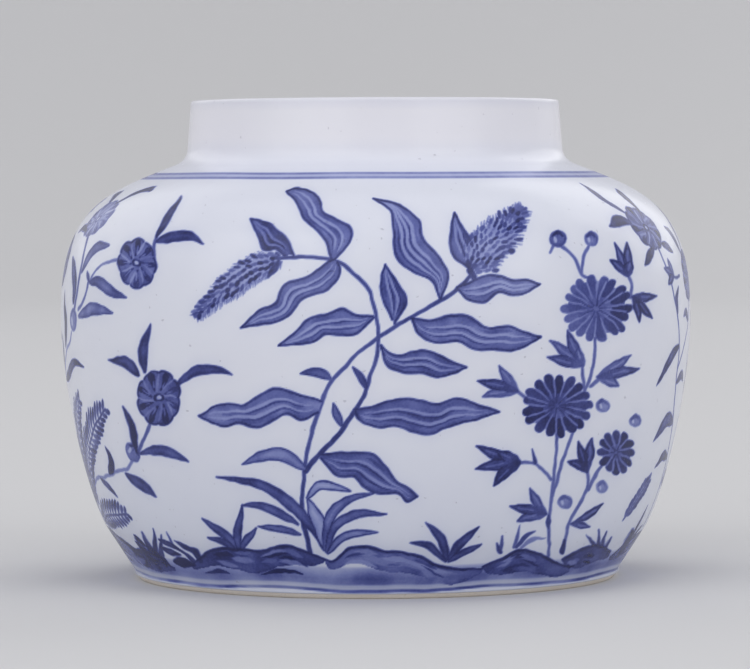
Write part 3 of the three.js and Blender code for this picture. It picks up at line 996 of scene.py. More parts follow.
for line, width, wash in (
    ([(-35.3, 70.3), (-33.3, 75.5), (-28.4, 79.9)], 1.7, 0.7),
    ([(-35.8, 67.3), (-39, 69.6), (-42.7, 70.8)], 1.9, 0.78),
    ([(-38.7, 60.5), (-42, 59.9), (-44.5, 58.5), (-46.6, 56.8)], 1.6, 0.55),
    ([(-26.3, 55.8), (-26, 59), (-24.5, 62.7)], 1.6, 0.62),
    ([(-26, 49), (-31, 49.9), (-36, 48.6), (-39.2, 47.7)], 2.2, 0.6),
    ([(-18.8, 41.9), (-22, 43.3), (-25, 43.9), (-28, 43.2), (-31.4, 42.4)], 2.4, 0.52),
    ([(-14, 66.7), (-15.8, 68.6), (-19, 69.5), (-21.5, 69)], 2.1, 0.85),
    ([(-14.8, 52), (-15.6, 55.2), (-18.2, 58)], 1.9, 0.62),
    ([(-16, 49), (-17.5, 51), (-20.4, 54)], 1.5, 0.8),
    ([(-16.5, 43.2), (-14.3, 46), (-11, 47.9), (-7.4, 46.9)], 2.0, 0.62),
    ([(5.6, 77.2), (2.5, 78.6), (-1.3, 79.2)], 1.1, 0.8),
    ([(10.2, 76.8), (13, 79.2), (15.5, 80), (18.6, 79.7)], 1.1, 0.75),
    ([(5.8, 71.2), (3, 71.7), (0.5, 71.7), (-2.4, 70.6)], 1.1, 0.85),
    ([(8.2, 55), (8.2, 59.5), (5.3, 62.8), (1.9, 65.4)], 2.6, 0.72),
    ([(11.9, 62.3), (13.8, 65.4), (17.5, 67.8), (22.3, 68.2)], 2.5, 0.6),
    ([(17, 60), (22, 60.2), (26.5, 58.6), (32, 57.2)], 2.2, 0.55),
    ([(17, 60.2), (16, 61.3), (15, 62.4)], 0.8, 0.6),
    ([(12, 52.5), (15, 53.2), (19, 54.2), (24, 54.3), (28, 53.8)], 2.6, 0.5),
    ([(-0.7, 45), (0.6, 48), (1.2, 51), (-0.6, 54.5), (-1.4, 57.7)], 2.5, 0.98),
    ([(-7.2, 39.5), (-6.3, 42.5), (-4.9, 45.4), (-6.4, 48.2)], 2.0, 0.85),
    ([(-8, 37.9), (-3, 38.6), (2, 40.2), (6.5, 42.1), (10, 42.2), (13.3, 41.6)], 2.0, 0.8),
    ([(-12.7, 37.1), (-11.8, 36.4), (-10.8, 35.6)], 1.4, 1.0),
    ([(9.5, 17.3), (12.5, 16.2), (16.3, 14)], 1.3, 0.75),
    ([(15.6, 18.8), (18, 20.5), (18.3, 22.8), (17, 24.6)], 2.1, 0.82),
):
    blade(left_side, line, width, wash, 0.85)
for line, width, shade in (
    ([(-26.2, 75.5), (-23.6, 76.1), (-21.2, 76.5), (-19.4, 76.2)], (1.0, 2.4, 2.3, 1.2), 0.56),
    ([(-23, 76.6), (-22.2, 78.2)], (1.3, 0.5), 0.54),
    ([(-20.2, 76.6), (-18.6, 77.8)], (1.0, 0.4), 0.48),
    ([(-24.6, 75.6), (-25.4, 73.9)], (0.9, 0.4), 0.5),
    ([(-22.4, 75.8), (-22.4, 74)], (0.9, 0.4), 0.5),
    ([(-20, 75.8), (-18.8, 74.4)], (0.9, 0.4), 0.5),
    ([(-9.6, 78.4), (-8.8, 76.5), (-8.3, 74.2)], (1.0, 2.2, 1.0), 0.44),
    ([(-8.6, 76.4), (-5.3, 77.6)], (2.0, 1.2), 0.42),
    ([(-8, 75.4), (-5.5, 75.9)], 1.4, 0.4),
    ([(-9.5, 76.3), (-12, 76), (-15, 74.5)], (1.0, 0.5), 0.24),
):
    left_side.brush(line, width, shade)


# Fern: long fronds that fan out from one root, each with narrow leaflets on both sides of
# its spine, darkest at their ends.
def frond(side, spine, left, right, ink, gap=1.8):
    """A frond from its root to its tip. left and right are its leaflets' lengths, which shrink
    towards the tip. Each leaflet curls forward, and is palest where it joins the spine."""
    middle, share, run, across = ribbon(spine)
    fall = np.minimum(1, np.minimum((1 - share) * 1.8 + 0.35, share * 3 + 0.5))
    step = round(gap / STROKE_STEP)
    for away, length in ((1, left), (-1, right)):
        for i in range(2 if away > 0 else 2 + step // 2, len(middle), step):
            reach = length * fall[i] * side.random.uniform(0.9, 1.12)
            root = middle[i]
            elbow = root + (run[i] * 0.45 + across[i] * away * 0.7) * reach * 0.55
            tip = root + (run[i] * 0.85 + across[i] * away * 0.85) * reach
            shade = ink * side.random.uniform(0.9, 1.15)
            inks = (shade * 0.75, shade * 0.95, min(1, shade * 1.25))
            side.brush([root, elbow, tip], (0.5, 1.05, 1.15, 0.5), inks)
    side.brush(middle, (0.75, 0.5, 0.6), min(1, ink * 1.05))


for spine, left, right, shade in (
    ([(-3, 7), (3, 8.7), (10, 9.5), (18, 10.6)], 3.6, 3.0, 0.74),
    ([(-8, 9), (-11, 7.2), (-15, 6.6), (-19, 7.3)], 1.9, 2.0, 0.66),
    ([(-8, 11), (-15, 14.5), (-24, 17.3), (-33, 17.6), (-41, 16)], 3.9, 4.4, 0.82),
    ([(-8, 12), (-10, 18), (-12, 24), (-15, 29), (-20, 31.5), (-27, 33.2), (-35, 33.3)], 4.6, 3.9,
     0.76),
    ([(-4, 10), (-3.5, 18), (-0.5, 26), (2.5, 30.5), (6.8, 34.2)], 4.6, 3.6, 0.7),
    ([(-2, 11), (2.5, 19), (8, 24.3), (14, 28.6), (21, 33)], 4.6, 3.6, 0.72),
    ([(-6, 8), (-6.3, 14), (-5, 20), (-6, 26)], 3.4, 3.0, 0.7),
):
    frond(left_side, spine, left, right, shade)
for _ in range(46):
    spot = left_side.random.uniform((-12, 5), (2, 19))
    swing = left_side.random.uniform((-2.2, 0.6), (1.2, 2.6))
    shade = left_side.random.uniform(0.55, 0.95)
    left_side.brush([spot, spot + swing * 0.6, spot + swing], (0.4, 0.9, 0.5), shade)
for line, width, wash in (
    ([(-28, 7.3), (-31, 9.6), (-34.3, 13.3)], 1.1, 0.8),
    ([(-28.5, 6.6), (-34, 8.8), (-40, 10)], 1.0, 0.75),
    ([(-28.5, 5.4), (-33, 5.7), (-36.6, 5.5)], 1.6, 0.62),
    ([(-27, 4.6), (-26.8, 9), (-25.6, 13.6)], 2.1, 0.85),
    ([(-26, 4.3), (-23.6, 6.5), (-20.9, 9.9)], 2.0, 0.8),
    ([(-28, 2.4), (-34, 2.3)], 1.0, 0.45),
    ([(16.3, 5.7), (18.7, 3.6)], 1.2, 0.8),
    ([(14.8, 4.2), (17, 2.3)], 1.0, 0.75),
    ([(19.8, 5.2), (20.4, 3.6), (20, 2)], 1.0, 0.7),
    ([(21.5, 3.2), (21.2, 1.6)], 0.9, 0.7),
    ([(25.3, 5.8), (28.6, 5.1), (30, 3.6)], 1.1, 0.75),
    ([(24.6, 4), (28.6, 3.4)], 1.1, 0.7),
    ([(25, 1.4), (28, 1.8), (31, 1.5)], 1.8, 0.85),
):
    blade(left_side, line, width, wash)


# Lilies: flowers of pointed petals that spread from a dark throat, each petal laid with one
# stroke of the full brush and then outlined.
def lily(side, throat, tips, width, ink):
    """A flower with a petal from its throat to each tip, outlined over a washed cup. Every
    second petal has a pale crease, and the others a dark one."""
    throat = np.array(throat, float)
    tips = [np.array(tip, float) for tip in tips]
    cup = [throat] + [throat * 0.36 + tip * 0.64 for tip in tips]
    side.fill(np.array(cup), ink * 0.85, 0.0)
    draw = side.random
    for i, tip in enumerate(tips):
        belly = throat * 0.42 + tip * 0.58
        shade = ink * draw.uniform(0.8, 1.15)
        widths = (width * 0.5, width, width * 1.15, width * 0.85, 0.3)
        side.brush([throat, belly, tip], widths, shade)
        for away in (-0.5, 0.5):
            across = crosswise(throat, tip) * width * away
            swell = throat * 0.5 + tip * 0.5 + across * 1.1
            narrow = throat * 0.25 + tip * 0.75 + across * 0.8
            side.brush([swell, narrow, tip], (0.25, 0.55, 0.4), min(1, shade * 1.3))
        if i % 2:
            pale = [throat * 0.62 + tip * 0.38, throat * 0.22 + tip * 0.78]
            side.brush(pale, (0.2, 0.45, 0.2), shade * 0.6, lift=True)
        else:
            dark = [throat * 0.9 + tip * 0.1, throat * 0.35 + tip * 0.65]
            side.brush(dark, (0.7, 0.5, 0.2), min(1, shade * 1.3))


# Back: seven lilies on long stems that spread from the ground and from one bud, among wavy
# leaves, with a seed spike at the top on each side.
back = Side(162, seed=13)
for line, width, shade in (
    ([(-10, 23.5), (-12, 28.5), (-14, 33), (-15, 38), (-15.8, 43), (-16.5, 48)], 0.9, 0.78),
    ([(-16.5, 48), (-17.5, 54), (-19, 58.5), (-20, 61.5), (-21.5, 64.5), (-24, 69)], 0.7, 0.7),
    ([(-24, 69), (-27, 72), (-30.5, 74), (-34, 75), (-38, 75.2)], 0.7, 0.75),
    ([(-15, 43.5), (-12, 41.5), (-9, 38.5), (-7, 35), (-6, 30), (-5.5, 25), (-5.4, 22)], 0.9, 0.82),
    ([(-3.5, 48.8), (-4, 44), (-4, 40), (-3.3, 36), (-1.5, 32.5), (1, 29), (2.6, 26)], 0.75, 0.72),
    ([(2.6, 26), (3.4, 23), (3.5, 20)], 0.7, 0.7),
    ([(0, 30), (-1.8, 26), (-2.6, 22)], 0.6, 0.62),
    ([(1, 30.3), (4, 32), (7, 33.5), (9.5, 35)], 0.7, 0.5),
    ([(0, 8.5), (2, 11), (3, 16), (4.5, 19), (7.5, 22.5), (11, 26.5), (14, 29.5)], 0.75, 0.72),
    ([(14, 29.5), (16, 33), (17, 36)], 0.7, 0.6),
    ([(16.4, 33.4), (18.2, 38), (19.4, 43), (18.5, 50), (17.6, 54), (18.6, 62)], 0.75, 0.72),
    ([(18.6, 62), (19.7, 65.5), (21.3, 68.3), (23.7, 71.2), (27.8, 74.6)], 0.8, 0.74),
    ([(-5.6, 53.3), (-6.4, 56), (-8.5, 59), (-12, 61), (-15.5, 61.9), (-20.5, 62)], 0.95, 0.8),
    ([(-1, 54.3), (0.2, 57.5), (3, 60), (7, 61), (11, 60.9), (14, 60), (16, 58.8)], 0.95, 0.76),
    ([(-43, 43.8), (-41.5, 45.7), (-39, 46.8), (-35, 47.6), (-30, 47.4)], 0.8, 0.74),
    ([(-12, 21.5), (-14.5, 22.7), (-18, 23.8), (-22, 24.3), (-27.5, 23.6), (-31, 22)], 0.9, 0.8),
    ([(-7.4, 12), (-6.6, 9.6), (-5.7, 8)], 1.2, 0.9),
    ([(-3, 13.5), (-3.5, 10.5), (-4.7, 8.2)], 0.9, 0.8),
    ([(5.4, 5.8), (6, 9), (7.5, 12.6)], 1.1, 0.85),
    ([(0, 8), (2.6, 11), (6, 12.8)], 1.0, 0.8),
    ([(12.6, 18), (16.3, 19.2), (18.6, 20.4)], 0.75, 0.5),
):
    back.brush(line, width, shade)
for edge, other, wash in (
    ([(-5, 80.4), (-8, 80.8), (-12, 80.9), (-17, 80), (-21, 78.9), (-24.5, 78.3), (-27, 76.5),
      (-29.5, 74), (-29, 72.8)],
     [(-5, 80.4), (-12, 79), (-14.5, 77.8), (-18, 77), (-22.5, 76), (-25, 74.5), (-28.5, 72.6)],
     0.5),
    ([(-47.3, 62.3), (-45, 63.6), (-43, 66), (-39.5, 69), (-36, 69.9), (-32, 71), (-28.5, 73)],
     [(-47.3, 62.3), (-44, 61.9), (-41.5, 63.5), (-39, 65.8), (-36, 65.5), (-32, 66.5),
      (-29.5, 68.5), (-27.6, 71.5)], 0.48),
    ([(-2.5, 74.2), (-5.5, 74.6), (-10, 75), (-15, 74.7), (-19.5, 73), (-21.6, 70), (-22, 66)],
     [(-2.5, 74.2), (-6, 72.5), (-10, 71.3), (-13.5, 70.5), (-16, 68.2), (-20, 67.2), (-21.8, 65)],
     0.62),
    ([(1.8, 82.2), (5, 81.4), (8, 81.1), (10.5, 80), (14, 79), (18, 77.5), (19.6, 75), (20, 71),
      (20.3, 67.3)],
     [(1.8, 82.2), (4.5, 80.3), (5.5, 78.5), (9, 76.5), (13, 75), (14.5, 72), (15.5, 68.5),
      (17, 66.6), (20, 66.9)], 0.5),
    ([(36.5, 70.7), (34, 70.5), (31, 71.6), (28, 71.3), (25.5, 70.6), (23.5, 71.5)],
     [(36.5, 70.7), (34.5, 70), (32, 68.7), (29, 67.9), (26, 68.6), (24, 70.5)], 0.6),
    ([(23.7, 81.8), (26.5, 80), (29, 78), (29.6, 75.4)],
     [(23.7, 81.8), (24, 79.5), (25.5, 77.5), (26.6, 75.2)], 0.68),
    ([(-38.8, 34.6), (-36, 35), (-32, 36.3), (-28.5, 35), (-24, 35.4), (-20, 33.5), (-17, 31),
      (-13.8, 30)],
     [(-38.8, 34.6), (-37.5, 33.2), (-34, 32.5), (-31.5, 30.8), (-28, 30.9), (-25.5, 30.5),
      (-23, 28), (-20, 27), (-16, 27.5), (-13.6, 29.4)], 0.56),
    ([(35.7, 51.2), (33.5, 50), (31, 48), (29, 44.5), (24.5, 42.5), (22, 40), (20.5, 36),
      (18.5, 33), (16, 31), (13.8, 29.2)],
     [(35.7, 51.2), (34, 47.5), (32.5, 43.5), (29.5, 40), (25.5, 38), (24.5, 34.5), (22, 31),
      (20, 29), (17, 27.6), (13.6, 28.6)], 0.56),
):
    wavy_leaf(back, edge, other, wash)
for line, width, wash in (
    ([(-15.8, 43.5), (-14.8, 45.6), (-12.5, 46.7), (-9, 47.2)], 1.2, 0.8),
    ([(-4.1, 41), (-6.5, 43), (-10.2, 44)], 1.8, 0.6),
    ([(-3.2, 37.4), (-1.5, 39.5), (1, 40.4)], 1.1, 0.8),
    ([(8.3, 23.2), (8.9, 26.3), (6, 30)], 1.4, 0.75),
    ([(-15.3, 36.3), (-17.5, 37.5), (-20.4, 37.4)], 1.5, 0.75),
    ([(-35.3, 47.6), (-37, 51), (-37.4, 54.8)], 1.9, 0.78),
    ([(19, 61.6), (22, 61.4), (25, 62.3), (27.5, 65)], 1.7, 0.56),
    ([(-34.6, 75.3), (-34.3, 78.4), (-33.6, 81.6)], 4.0, 0.6),
    ([(-33.4, 75.4), (-32, 77), (-31.8, 79.6)], 1.8, 0.7),
    ([(-45.6, 6.4), (-48, 10.4), (-51.4, 14.6)], 1.1, 0.78),
    ([(-45.4, 6.6), (-47.2, 11), (-49.2, 15.6)], 1.0, 0.55),
    ([(-45.8, 6.2), (-49, 8.8), (-52, 10.8)], 1.1, 0.78),
    ([(-45, 6.6), (-45.6, 12), (-45, 17.4)], 1.4, 0.44),
    ([(-44.6, 6.4), (-43.4, 11), (-40, 14.2)], 1.6, 0.64),
    ([(-44.4, 6.2), (-42, 8.4), (-38.8, 9)], 1.0, 0.5),
    ([(-25.2, 5.4), (-28, 7), (-31.2, 9.4)], 1.2, 0.85),
    ([(-24.8, 4), (-31.4, 5.4)], 1.2, 0.8),
    ([(-25.5, 2.6), (-29, 2.8)], 1.0, 0.7),
    ([(-23, 3.8), (-23.8, 7), (-22.9, 11.3)], 2.1, 0.8),
    ([(-21, 3.8), (-18.9, 6.7)], 1.1, 0.85),
    ([(21.2, 2.6), (18.6, 5.4), (14, 7.6)], 1.2, 0.75),
    ([(21.2, 2.8), (19.2, 6.8), (17.4, 9.8)], 1.0, 0.6),
    ([(21.4, 2.8), (20.4, 7.2), (19.8, 11.4)], 1.4, 0.8),
    ([(21.8, 2.8), (22.6, 6.8), (24.8, 10.2)], 1.2, 0.7),
    ([(22, 2.6), (24.6, 6), (28.8, 7.8)], 1.2, 0.75),
    ([(22.2, 2.4), (25.4, 4.2), (29.4, 4.4)], 1.2, 0.75),
    ([(21, 2.2), (18.4, 3.4), (15.4, 3.6)], 1.0, 0.55),
):
    blade(back, line, width, wash)
seed_spike(back, [(30.8, 75.4), (36, 75.5), (41, 74.1), (45.5, 72.6), (49.2, 70.2)], 3.8, 1.0)
seed_spike(back, [(-37.6, 74.8), (-42.5, 72.8), (-46.5, 69.6), (-49.5, 66), (-52.4, 62.4)], 4.1, 1.0)
for stalk, lobes, width, shade in (
    ((-7, 56.2), [(-18.6, 57.9), (-16.8, 53.2), (-13.3, 50.6)], 3.0, 0.5),
    ((6, 61.5), [(-0.4, 73.2), (6.1, 73.5), (-2.1, 68), (5.2, 64)], 3.2, 0.86),
    ((0.3, 55.6), [(9, 57.7), (11.5, 54), (7.2, 51)], 2.6, 0.74),
    ((-12.3, 61.6), [(-13.6, 65), (-12, 71.7), (-7.9, 68.3)], 2.2, 0.74),
    ((-21, 61.6), [(-32, 60.9), (-31.3, 56.8), (-27, 55.4)], 3.2, 0.52),
    ((16, 59.6), [(24.2, 58.3), (24.6, 53.2), (16.6, 52.8)], 3.4, 0.54),
):
    lobed_leaf(back, stalk, lobes, width, shade)
bud(back, (-2.5, 51.6), 3.3, 0.84, 100, 0.62)
for throat, tips, width, shade in (
    ((-43.2, 43.4), [(-49.2, 46.6), (-46, 48), (-50.4, 44.2), (-49.8, 40.8), (-46.4, 35.2),
                     (-42.2, 36.4), (-39.6, 36.8), (-35.9, 40.2)], 2.3, 0.8),
    ((-20.6, 45.4), [(-31.7, 49.4), (-28.8, 53.1), (-25.2, 54.2), (-21.3, 55.1), (-17.5, 47.5),
                     (-17.9, 42.6), (-24.2, 37.9), (-27.9, 41.7), (-30.4, 44.8)], 3.3, 0.56),
    ((-31.6, 22.2), [(-24.4, 15.4), (-27.1, 13.8), (-31.3, 13.5), (-37, 13), (-38.9, 19.9),
                     (-39.7, 23), (-39, 27.7)], 3.1, 0.76),
    ((-4.6, 20.4), [(-15.7, 17.4), (-14, 14.6), (-8.6, 12), (1.2, 12.6), (3.8, 17.6), (-11.6, 22),
                    (-6.8, 11)], 3.6, 0.78),
    ((11.5, 38.4), [(20.3, 37), (19.4, 46), (16.1, 49.8), (9.5, 49.6), (5.8, 47.6), (2.6, 44.4),
                    (6.6, 35.6), (13.2, 34.6)], 3.8, 0.68),
    ((22.3, 20.6), [(18.2, 23.4), (21.5, 29.8), (24.6, 30.1), (28.4, 28), (32.4, 20.6),
                    (28.8, 15.7), (25, 13.2), (21.4, 11.8), (17.8, 17.4)], 3.0, 0.84),
    ((5.2, 12.6), [(11.2, 19.5), (13.7, 17.5), (15, 14.6), (17.6, 9.4)], 1.9, 0.86),
):
    lily(back, throat, tips, width, shade)
lobed_leaf(back, (7, 42), [(6.4, 35.8), (8.6, 36.8)], 2.6, 0.94)


# Daisies round the back: three more chrysanthemums with their leaves, placed as they are seen
# from the two sides that they lie between.
daisies = Side(220, seed=14)
daisies.seen_from(162)
for line, width, shade in (
    ([(59.3, 62), (58.8, 57), (58.3, 52), (57.6, 47), (56.9, 40), (56.5, 33)], 0.75, 0.74),
    ([(56.5, 33), (55.5, 25), (52, 18), (48.5, 11), (46, 7)], 0.75, 0.68),
    ([(56, 60), (57.5, 58.8), (58.6, 57)], 0.9, 0.8),
    ([(60.3, 53.5), (58.6, 50.6)], 0.8, 0.7),
    ([(60, 44.5), (58, 42), (56.9, 38.5)], 1.0, 0.8),
    ([(52.3, 39), (53, 34), (53.2, 29), (52.2, 23), (50.6, 17), (48, 11)], 0.65, 0.6),
    ([(54.5, 38), (53.6, 33), (52.9, 30)], 0.7, 0.62),
    ([(48, 35), (48.6, 31), (50, 29.3)], 0.9, 0.8),
    ([(45, 29.3), (48, 30.3), (50.5, 29), (52, 26), (51.8, 22)], 0.6, 0.55),
    ([(47, 52), (46.8, 56.5)], 0.8, 0.7),
    ([(51.5, 76.5), (54.5, 74.3), (56.5, 72)], 1.0, 0.75),
):
    daisies.brush(line, width, shade)
daisy(daisies, (48.7, 46.9), (7.6, 8.1), 19, 0.8, pale_turn=180)
for stalk, lobes, width, shade in (
    ((44.6, 43.4), [(34, 41.1), (34.8, 36.8), (37.5, 34.7)], 2.6, 0.8),
    ((46.5, 56.3), [(41.3, 64.8), (37.7, 61.8), (38.4, 58.3)], 2.8, 0.6),
    ((47.6, 56.5), [(49.5, 64.6), (53.5, 63), (52.2, 58.4)], 2.6, 0.76),
    ((51.5, 76.5), [(43.4, 79.9), (45.7, 77), (48.8, 75.6)], 2.2, 0.76),
    ((46.4, 29.3), [(38.5, 29.5), (37.9, 23.3), (41.3, 21.4)], 2.8, 0.78),
    ((47.3, 14.8), [(49, 24.7), (45.3, 21.4), (44.7, 17.9)], 2.2, 0.86),
    ((51.3, 16.4), [(55.5, 21.5), (56.3, 19.6)], 1.9, 0.82),
    ((55.9, 28.6), [(59.2, 27.5), (57, 23.6)], 1.6, 0.66),
):
    lobed_leaf(daisies, stalk, lobes, width, shade)
for line, width, wash in (
    ([(46, 7), (45.3, 11), (43, 14.6), (40, 16.3), (36.8, 17)], 1.3, 0.75),
    ([(45, 8.8), (43, 11.5), (40, 11.9), (35.4, 11.3)], 1.5, 0.85),
    ([(44, 9.3), (41, 9.4), (37, 8)], 1.3, 0.45),
    ([(48, 12), (51, 13.6), (55.6, 15.3)], 1.0, 0.75),
    ([(50, 11), (53.2, 11.6)], 1.0, 0.7),
    ([(47.2, 9.5), (47.4, 13), (46.8, 16.5)], 0.8, 0.6),
):
    blade(daisies, line, width, wash)
daisies.seen_from(-76.5)
daisy(daisies, (-55.3, 65.7), (5.0, 6.4), 16, 0.86)
daisy(daisies, (-50.5, 34.7), (6.5, 7.5), 18, 0.88)
for stalk, lobes, width, shade in (
    ((-51.2, 43.6), [(-55.1, 53.8), (-51.6, 54.2), (-56, 49.2)], 3.0, 0.95),
    ((-50, 43.8), [(-41, 47.1), (-39.8, 43.5), (-44, 39.3)], 3.0, 0.76),
    ((-54.8, 73), [(-50.4, 79.5), (-54.6, 77.6), (-58.3, 74.6)], 2.2, 0.84),
    ((-53.8, 14.2), [(-53.3, 19.8), (-50.1, 17.6), (-50.8, 13.9)], 2.0, 0.8),
):
    lobed_leaf(daisies, stalk, lobes, width, shade)
bud(daisies, (-47.3, 70.5), 2.2, 0.7, 180, 0.45)
for line, width, shade in (
    ([(-51.4, 71), (-48.8, 71.6)], 0.8, 0.8),
    ([(-50.7, 72.3), (-48.3, 76.5)], 0.5, 0.36),
    ([(-60, 48), (-59, 50.8), (-57.8, 51.4)], 0.9, 0.8),
    ([(-59.5, 40.5), (-58.6, 42.7), (-57.3, 42)], 1.1, 0.85),
    ([(-56.5, 25.8), (-54.3, 26.7), (-51, 24.6)], 1.2, 0.8),
    ([(-54.5, 25.5), (-52.9, 22)], 1.2, 0.9),
    ([(-50.8, 11.3), (-49.8, 13), (-45.6, 12.2)], (1.4, 1.4, 0.7), 0.76),
    ([(-51.3, 8.3), (-49, 10), (-45.7, 8.4)], (1.4, 1.4, 0.7), 0.72),
    ([(-53.5, 14), (-52.5, 9), (-51, 5)], 0.9, 0.75),
):
    daisies.brush(line, width, shade)
blade(daisies, [(-50.5, 75.2), (-48, 76.7), (-45.7, 78.5)], 2.2, 0.5)


# Right side: a pomegranate branch with four flowers, and a fern at its foot, between the
# chrysanthemums at the front and the lilies at the back.
right_side = Side(80, seed=15)
for line, width, shade in (
    ([(-19.4, 67.4), (-16.6, 60), (-12.8, 52), (-10.4, 44), (-9.4, 36), (-6, 28), (-3, 20)], 0.7, 0.66),
    ([(-3, 20), (-2.4, 14), (-3.4, 6)], 0.8, 0.66),
    ([(0.2, 54.8), (-1.4, 50.4), (-5.2, 45.6), (-9.8, 40.6)], 0.65, 0.6),
    ([(19.6, 57), (17.4, 50.6), (13.8, 45.2), (10.6, 42.2)], 0.6, 0.6),
    ([(6, 33), (2.5, 28), (0.5, 22), (-1.5, 14)], 0.7, 0.58),
    ([(6, 48.4), (4.4, 45), (2.6, 41.6), (3.6, 40)], 0.6, 0.55),
    ([(-14.6, 60.6), (-12, 60.2), (-9.2, 60.6)], 0.6, 0.7),
):
    right_side.brush(line, width, shade)
for centre, radii, turn, lobes, shade in (
    ((-20.5, 71.2), (5.9, 4.3), 0, 9, 0.84),
    ((0.6, 60.5), (6.1, 5.6), 15, 9, 0.74),
    ((8.4, 37.4), (5.7, 5.4), 40, 8, 0.84),
    ((20.7, 61.9), (5.5, 5.3), 30, 9, 0.8),
):
    rosette(right_side, centre, radii, turn, lobes, shade)
bud(right_side, (6.6, 50.6), 2.6, 0.8, 80, 0.5)
for line, width, wash in (
    ([(-25.4, 72.4), (-29, 73), (-33.4, 71.8)], 1.7, 0.75),
    ([(-24.8, 74.4), (-26.6, 77.6), (-24.4, 81)], 1.3, 0.75),
    ([(-17.6, 75), (-16.6, 77.6), (-13.6, 79.6)], 1.4, 0.75),
    ([(-21.6, 67), (-24, 65.6), (-27.4, 63.4)], 1.8, 0.75),
    ([(-16.4, 68), (-13.6, 67.2), (-10.4, 65.4)], 1.5, 0.75),
    ([(-12.6, 52.6), (-13.2, 55.8), (-11.2, 58.4)], 1.5, 0.75),
    ([(-10.6, 45.4), (-15, 43.6), (-19, 40.4), (-22, 37.2)], 2.0, 0.72),
    ([(-9.4, 37), (-5.4, 38.6), (-1.4, 37.2)], 1.9, 0.72),
    ([(-6.2, 28.4), (-12, 29.4), (-18.4, 25.2)], 3.0, 0.66),
    ([(-3, 20.4), (-8.2, 21.2), (-12.8, 19)], 1.9, 0.74),
    ([(0.3, 66), (1.6, 72), (5.6, 77.4)], 1.6, 0.72),
    ([(-2.6, 65.6), (-5.6, 69.6), (-8.8, 71.4)], 2.0, 0.7),
    ([(5.6, 63.6), (9.4, 66), (13.4, 65)], 1.9, 0.6),
    ([(-1.4, 50.4), (-5, 52.4), (-7.6, 51.6)], 1.7, 0.66),
    ([(12.6, 41.4), (17.4, 43.6), (22.4, 42)], 2.0, 0.78),
    ([(12, 33.4), (14.4, 31), (14.8, 27.6)], 1.6, 0.7),
    ([(26, 62), (32.4, 61.6), (37.8, 58.4)], 2.2, 0.85),
    ([(24.4, 58.4), (28.8, 57.2), (32.4, 54.2)], 1.7, 0.85),
    ([(21.6, 67), (22.2, 72), (19, 79.2)], 1.5, 0.78),
    ([(24, 66.2), (26.6, 71), (31.3, 75.9)], 1.6, 0.78),
    ([(-9.4, 3), (-10.2, 6.8), (-9, 10.8)], 1.4, 0.8),
    ([(-9.8, 3), (-11.4, 5), (-13.4, 6.2)], 1.0, 0.75),
    ([(-9, 3), (-7.4, 5), (-5.6, 6)], 1.0, 0.75),
):
    blade(right_side, line, width, wash)
lobed_leaf(right_side, (-13.8, 60.6), [(-18.8, 62.4), (-17.8, 59), (-15.6, 64.2)], 1.9, 0.8)
for spine, left, right, shade, gap in (
    ([(-21, 9), (-18.4, 12.8), (-14.4, 16.8)], 2.0, 2.0, 0.62, 1.3),
    ([(18, 7), (16.4, 14), (16.8, 22.4), (20.6, 29.8), (26.6, 37.6)], 3.9, 3.6, 0.8, 1.8),
    ([(18.8, 7), (22, 12.3), (25.7, 17.3), (30.2, 21.8)], 3.2, 3.2, 0.82, 1.8),
    ([(17.8, 6), (13.5, 11), (7.5, 14.4), (0.6, 16.2)], 3.0, 3.2, 0.76, 1.8),
    ([(18, 6.6), (13.6, 14), (11.2, 19.4), (9.8, 25)], 2.7, 3.0, 0.72, 1.8),
):
    frond(right_side, spine, left, right, shade, gap)


# Ground: low rocky mounds, outlined in dark blue and washed unevenly with slanting streaks,
# between small tufts of grass, all standing in the paler wash that runs round the foot.
def mound(side, ridge, wash, depth=4.0):
    """A mound below its ridge, a line from left to right, which fades into the wash below,
    with dark blots and pale streaks that slant down from the ridge."""
    top = spline(ridge)
    low = top[::-1].copy()
    fall = np.sin(np.linspace(0, np.pi, len(low))) ** 0.6
    low[:, 1] = low[:, 1] - 0.4 - depth * fall
    side.fill(np.vstack([top, low]), wash, 0.1, 0.6)
    draw = side.random
    long_way = top[-1, 0] - top[0, 0]
    for _ in range(int(abs(long_way) / 1.6)):
        start = draw.uniform(0.06, 0.7)
        drop = draw.uniform(0.6, depth * 0.75)
        run = part_of(top, start, start + draw.uniform(0.1, 0.25))
        slant = run - np.linspace((0, drop), (0, drop * draw.uniform(0.9, 1.5)), len(run))
        shade = draw.choice([0.6, 0.75, 1.2, 1.35]) * wash
        width = draw.uniform(0.5, 1.1)
        side.brush(slant, (0.1, width, width, 0.1), min(0.95, shade), lift=shade < wash)
    side.brush(top, (0.4, 0.85, 0.6, 0.75, 0.4), 0.92)


